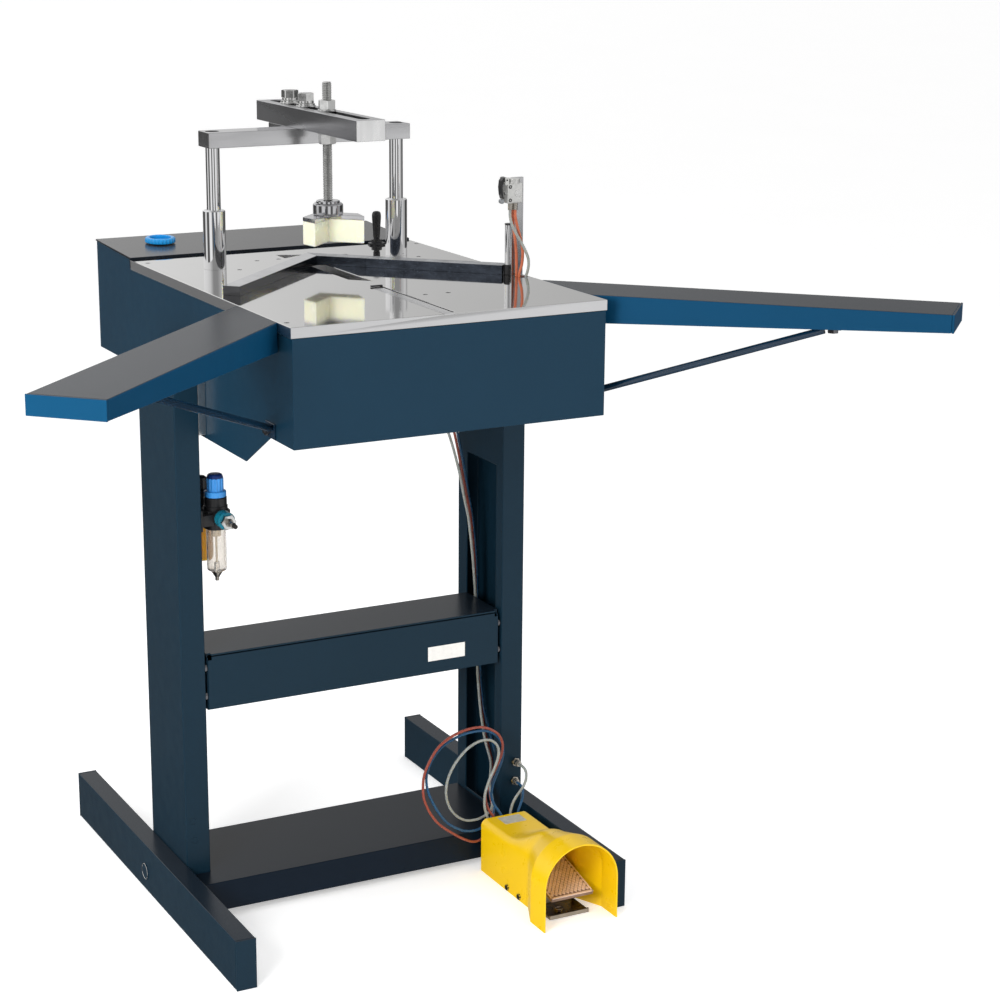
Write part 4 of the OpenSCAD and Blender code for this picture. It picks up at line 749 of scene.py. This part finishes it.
# rear wall, which has five elbow holes, is a separate sheet welded inside; the holes are not cut
for v in shell.verts:
    v.co = row(*v.co)
me = bpy.data.meshes.new("pedal_guard.sheet")
shell.to_mesh(me)
shell.free()
me.polygons.foreach_set("use_smooth", [True] * len(me.polygons))
me.set_sharp_from_angle(angle=rad(34))
me.materials.append(yellow)
guard = bpy.data.objects.new("pedal_guard.sheet", me)
bpy.context.scene.collection.objects.link(guard)
so = guard.modifiers.new("sheet", "SOLIDIFY")
so.thickness, so.offset, so.use_even_offset = .0022, -1, True
bv = guard.modifiers.new("edge", "BEVEL")
bv.width, bv.segments, bv.limit_method, bv.angle_limit = .0005, 2, "ANGLE", rad(50)
guard.modifiers.new("weighted", "WEIGHTED_NORMAL").keep_sharp = True
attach(guard, "stand"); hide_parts("pedal_guard")
bm = bmesh.new()
outl = [(QX - 38.4, 0), (QX - 38.4, 74), (QX - 33, 80.4), (QX + 33, 80.4), (QX + 38.4, 74), (QX + 38.4, 0)]
join(bm, prism(outl, 0, 2.2, .5, 2), T(0, 244.8, 0) @ Matrix.Rotation(rad(90), 4, "X"))
put("pedal_guard_back", bm, yellow, "stand")
# blank plate on the top of the guard
bm = bmesh.new()
join(bm, box(196, 232, 212, 238, 82.0, 82.35, .15, 1))
put("pedal_plate_blank", bm, paper_g, "stand")

refine("pedal_base", bronze, .6, 2, minlen=5)
bm = bmesh.new()
join(bm, lathe([(0, 0), (6.3, 0), (6.6, .4), (6.2, 2.2), (4.6, 3.4), (1.6, 4.1), (0, 4.2)], 40), T(204, 66, 4.0))
join(bm, box(199, 209, 65.3, 66.7, 7.2, 8.25, .2, 1))
put("base_rivet", bm, zinc_b, "stand")

# tread plate with a diamond pattern cut into it
TR = T(QX, 150, 58, "X", 14)
bm = bmesh.new()
join(bm, box(-34, 34, -113, -14, 0, 5, .8, 2), TR.copy(), 1)
join(bm, box(-30, 30, -16, 5, 0, 4.96, .8, 2), TR.copy(), 1)
join(bm, lathe([(4.05, 0), (6.6, 0), (7, .4), (7, 59.6), (6.6, 60), (4.05, 60)], 40, closed=True), TR @ T(-30, 0, 0) @ AX_X, 0)
tmp = bmesh.new()
sx, sy = 6.4, 9.0
ny, nx = 11, 10
for j in range(2 * ny + 1):
    for i in range(nx + (j % 2 == 0)):
        cx_ = (i - nx / 2 + (.5 if j % 2 else 0)) * sx
        cy_ = -110.5 + (j + .5) * sy / 2
        if abs(cx_) > 29.6 or cy_ > -16 or cy_ < -107:
            continue
        a, b = sx / 2 - .32, sy / 2 - .45
        lo_ = [tmp.verts.new((cx_ + p * a, cy_ + q * b, 4.98)) for p, q in ((-1, 0), (0, -1), (1, 0), (0, 1))]
        hi_ = [tmp.verts.new((cx_ + p * a * .84, cy_ + q * b * .84, 6.0)) for p, q in ((-1, 0), (0, -1), (1, 0), (0, 1))]
        for k in range(4):
            tmp.faces.new((lo_[k], lo_[(k + 1) % 4], hi_[(k + 1) % 4], hi_[k]))
        tmp.faces.new(hi_)
        tmp.faces.new(list(reversed(lo_)))
join(bm, tmp, TR.copy(), 0)
for x0, x1, y0, y1 in ((-34, 34, -113, -109.6), (-34, -31.6, -113, -15), (31.6, 34, -113, -15)):
    join(bm, box(x0, x1, y0, y1, 4.9, 6.0, .3, 1), TR.copy(), 0)
put("treadle.tread", bm, [tan_m, tan_groove_m], "treadle", "treadle", sharp=30, wn=False)
paint("valve_plunger", chrome)
refine("pedal_valve", cast, .8, 2)
paint("pedal_screws", zinc)
bm = bmesh.new()
for y in (124, 160):
    for x, s in ((169.4, 1), (254.6, -1)):
        join(bm, hexn(8, 0, 2.6, 10 * y, True), T(x + (2.6 if s > 0 else -2.6), y, 7) @ Matrix.Rotation(rad(-90 * s), 4, "Y"))
put("pedal_screw_heads", bm, black_steel, "stand")

# ---------------------------------------------------------------- fittings
bm = bmesh.new()
for x, y in ((196, 400), (208, 407), (184, 393)):
    join(bm, rod(4.2, 684, 694, .5, 36), T(x, y, 0), 0)
    join(bm, hexn(12, 690, 693.95, 20, False, True), T(x, y, 0), 0)
    join(bm, rod(4.9, 694, 702, .4, 36), T(x, y, 0), 0)
    join(bm, hexn(12, 696, 700, 35, True, False), T(x, y, 0), 0)
for x in range(188, 237, 12):
    join(bm, rod(3.5, 0, 12, .4, 32), T(x, 238, 62) @ AX_Y, 0)
    join(bm, lathe([(0, 57.5), (3.2, 57.5), (4.2, 58.6), (4.2, 66.4), (3.7, 66.8), (3.7, 67.4), (4.2, 67.8), (4.2, 69.6), (3.7, 70), (2.05, 70), (2.05, 69), (0, 69)], 36),
         T(x, 250, 0), 0)
for x, y, z, l in ((261, 290, 138, 14), (259, 292, 108, 12)):
    join(bm, lathe([(2.05, 0), (3.7, 0), (4.2, .5), (4.2, 3.2), (3.7, 3.6), (3.7, 4.6), (4.2, 5), (4.2, l), (0, l), (0, 2), (2.05, 2)], 36), T(x, y, z) @ AX_Y, 0)
    join(bm, hexn(12, 0, 4, 15, False, True), T(x, 300, z) @ AX_Y, 0)
    join(bm, rod(4.9, 3, 24, .4, 32), T(x, y, z) @ AX_Y, 0)
for x, y in ((195.5, 214.5), (203.5, 214.5), (203.5, 221.5)):
    join(bm, lathe([(2.05, 994), (3.0, 994), (3.3, 994.4), (3.3, 1003.5), (0, 1003.5), (0, 996), (2.05, 996)], 32), T(x, y, 0), 0)
put("hose_fittings.shape", bm, [nickel], "stand", "hose_fittings", sharp=40)

# ---------------------------------------------------------- blank label
bm = bmesh.new()
join(bm, box(114, 175, 305.6, 306.0, 320, 342, .12, 1))
put("drawer_label_blank", bm, paper, "drawer")

# -------------------------------------------------------------- light
sc = bpy.context.scene
sc.view_settings.view_transform = "Standard"
sc.view_settings.look = "None"
sc.view_settings.exposure = 0
sc.view_settings.gamma = 1

fm = mat("floor_pale", (.86, .86, .86), .6, var=.01, vs=1.5, rvar=.02, spec=.1)
fm.node_tree.nodes["Principled BSDF"].inputs["Emission Color"].default_value = (1, 1, 1, 1)
fm.node_tree.nodes["Principled BSDF"].inputs["Emission Strength"].default_value = .44
bm = bmesh.new()
bmesh.ops.create_circle(bm, cap_ends=True, radius=60, segments=96)
me = bpy.data.meshes.new("floor")
bm.to_mesh(me); bm.free()
me.materials.append(fm)
floor = bpy.data.objects.new("floor", me)
sc.collection.objects.link(floor)
floor.location.z = -.0004
floor.visible_glossy = False

w = bpy.data.worlds.new("studio")
sc.world = w
w.use_nodes = True
t = w.node_tree
t.nodes.clear()
out = nd(t, "ShaderNodeOutputWorld")
tc = nd(t, "ShaderNodeTexCoord")
sx = nd(t, "ShaderNodeSeparateXYZ")
t.links.new(tc.outputs["Generated"], sx.inputs[0])
at = nd(t, "ShaderNodeMath", operation="ARCTAN2")
t.links.new(sx.outputs[0], at.inputs[0]); t.links.new(sx.outputs[1], at.inputs[1])
dv = nd(t, "ShaderNodeMath", operation="MULTIPLY_ADD")
dv.inputs[1].default_value = 1 / (2 * math.pi); dv.inputs[2].default_value = 1.0
t.links.new(at.outputs[0], dv.inputs[0])
fr = nd(t, "ShaderNodeMath", operation="FRACT")
t.links.new(dv.outputs[0], fr.inputs[0])


def ramp(stops):
    r = nd(t, "ShaderNodeValToRGB")
    e = r.color_ramp.elements
    while len(e) > 1:
        e.remove(e[-1])
    e[0].position, e[0].color = stops[0][0] / 360, (*[stops[0][1]] * 3, 1)
    for a, v in stops[1:]:
        x = e.new(a / 360)
        x.color = (v, v, v, 1)
    t.links.new(fr.outputs[0], r.inputs[0])
    return r.outputs[0]


low = ramp([(0, .75), (20, .2), (36, .25), (52, .1), (98, .05), (106, .5), (132, .55), (142, .85), (164, .95), (170, .15), (182, .15), (188, 1.0),
            (202, .95), (208, .12), (220, .15), (228, .95), (248, 1.0), (256, .1), (276, .1), (284, .9), (298, .85), (306, .1), (334, .08), (350, .15), (359, .7)])
high = ramp([(0, 1.0), (14, 1.0), (20, .82), (26, .62), (38, .42), (60, .42), (100, .8), (140, .6), (180, .35), (220, .35), (255, .8), (290, .95), (330, 1.0), (359, 1.0)])
zf = maprange(t, sx.outputs[2], -.02, .05, 0, 1)
env = mixc(t, zf, low, high)
bg1 = nd(t, "ShaderNodeBackground", Strength=.95)
t.links.new(env, bg1.inputs[0])
bg2 = nd(t, "ShaderNodeBackground", Strength=1.0)
bg2.inputs[0].default_value = (1, 1, 1, 1)
lp = nd(t, "ShaderNodeLightPath")
mx = nd(t, "ShaderNodeMixShader")
t.links.new(lp.outputs["Is Camera Ray"], mx.inputs[0])
t.links.new(bg1.outputs[0], mx.inputs[1]); t.links.new(bg2.outputs[0], mx.inputs[2])
t.links.new(mx.outputs[0], out.inputs[0])


def area(name, loc, target, size, energy, sy=None):
    l = bpy.data.lights.new(name, "AREA")
    l.shape = "RECTANGLE"
    l.size, l.size_y, l.energy = size, sy or size, energy
    o = bpy.data.objects.new(name, l)
    sc.collection.objects.link(o)
    o.location = loc
    o.rotation_mode = "QUATERNION"
    o.rotation_quaternion = (Vector(target) - Vector(loc)).to_track_quat("-Z", "Y")
    o.visible_glossy = False
    return o


area("key", (-1.75, -1.35, 1.25), (-.35, -.2, .75), .8, 40)
area("top", (.2, -.2, 3.2), (0, 0, .5), 2.2, 38)
area("fill", (1.6, -2.6, 1.2), (.1, -.2, .5), 1.4, 12)
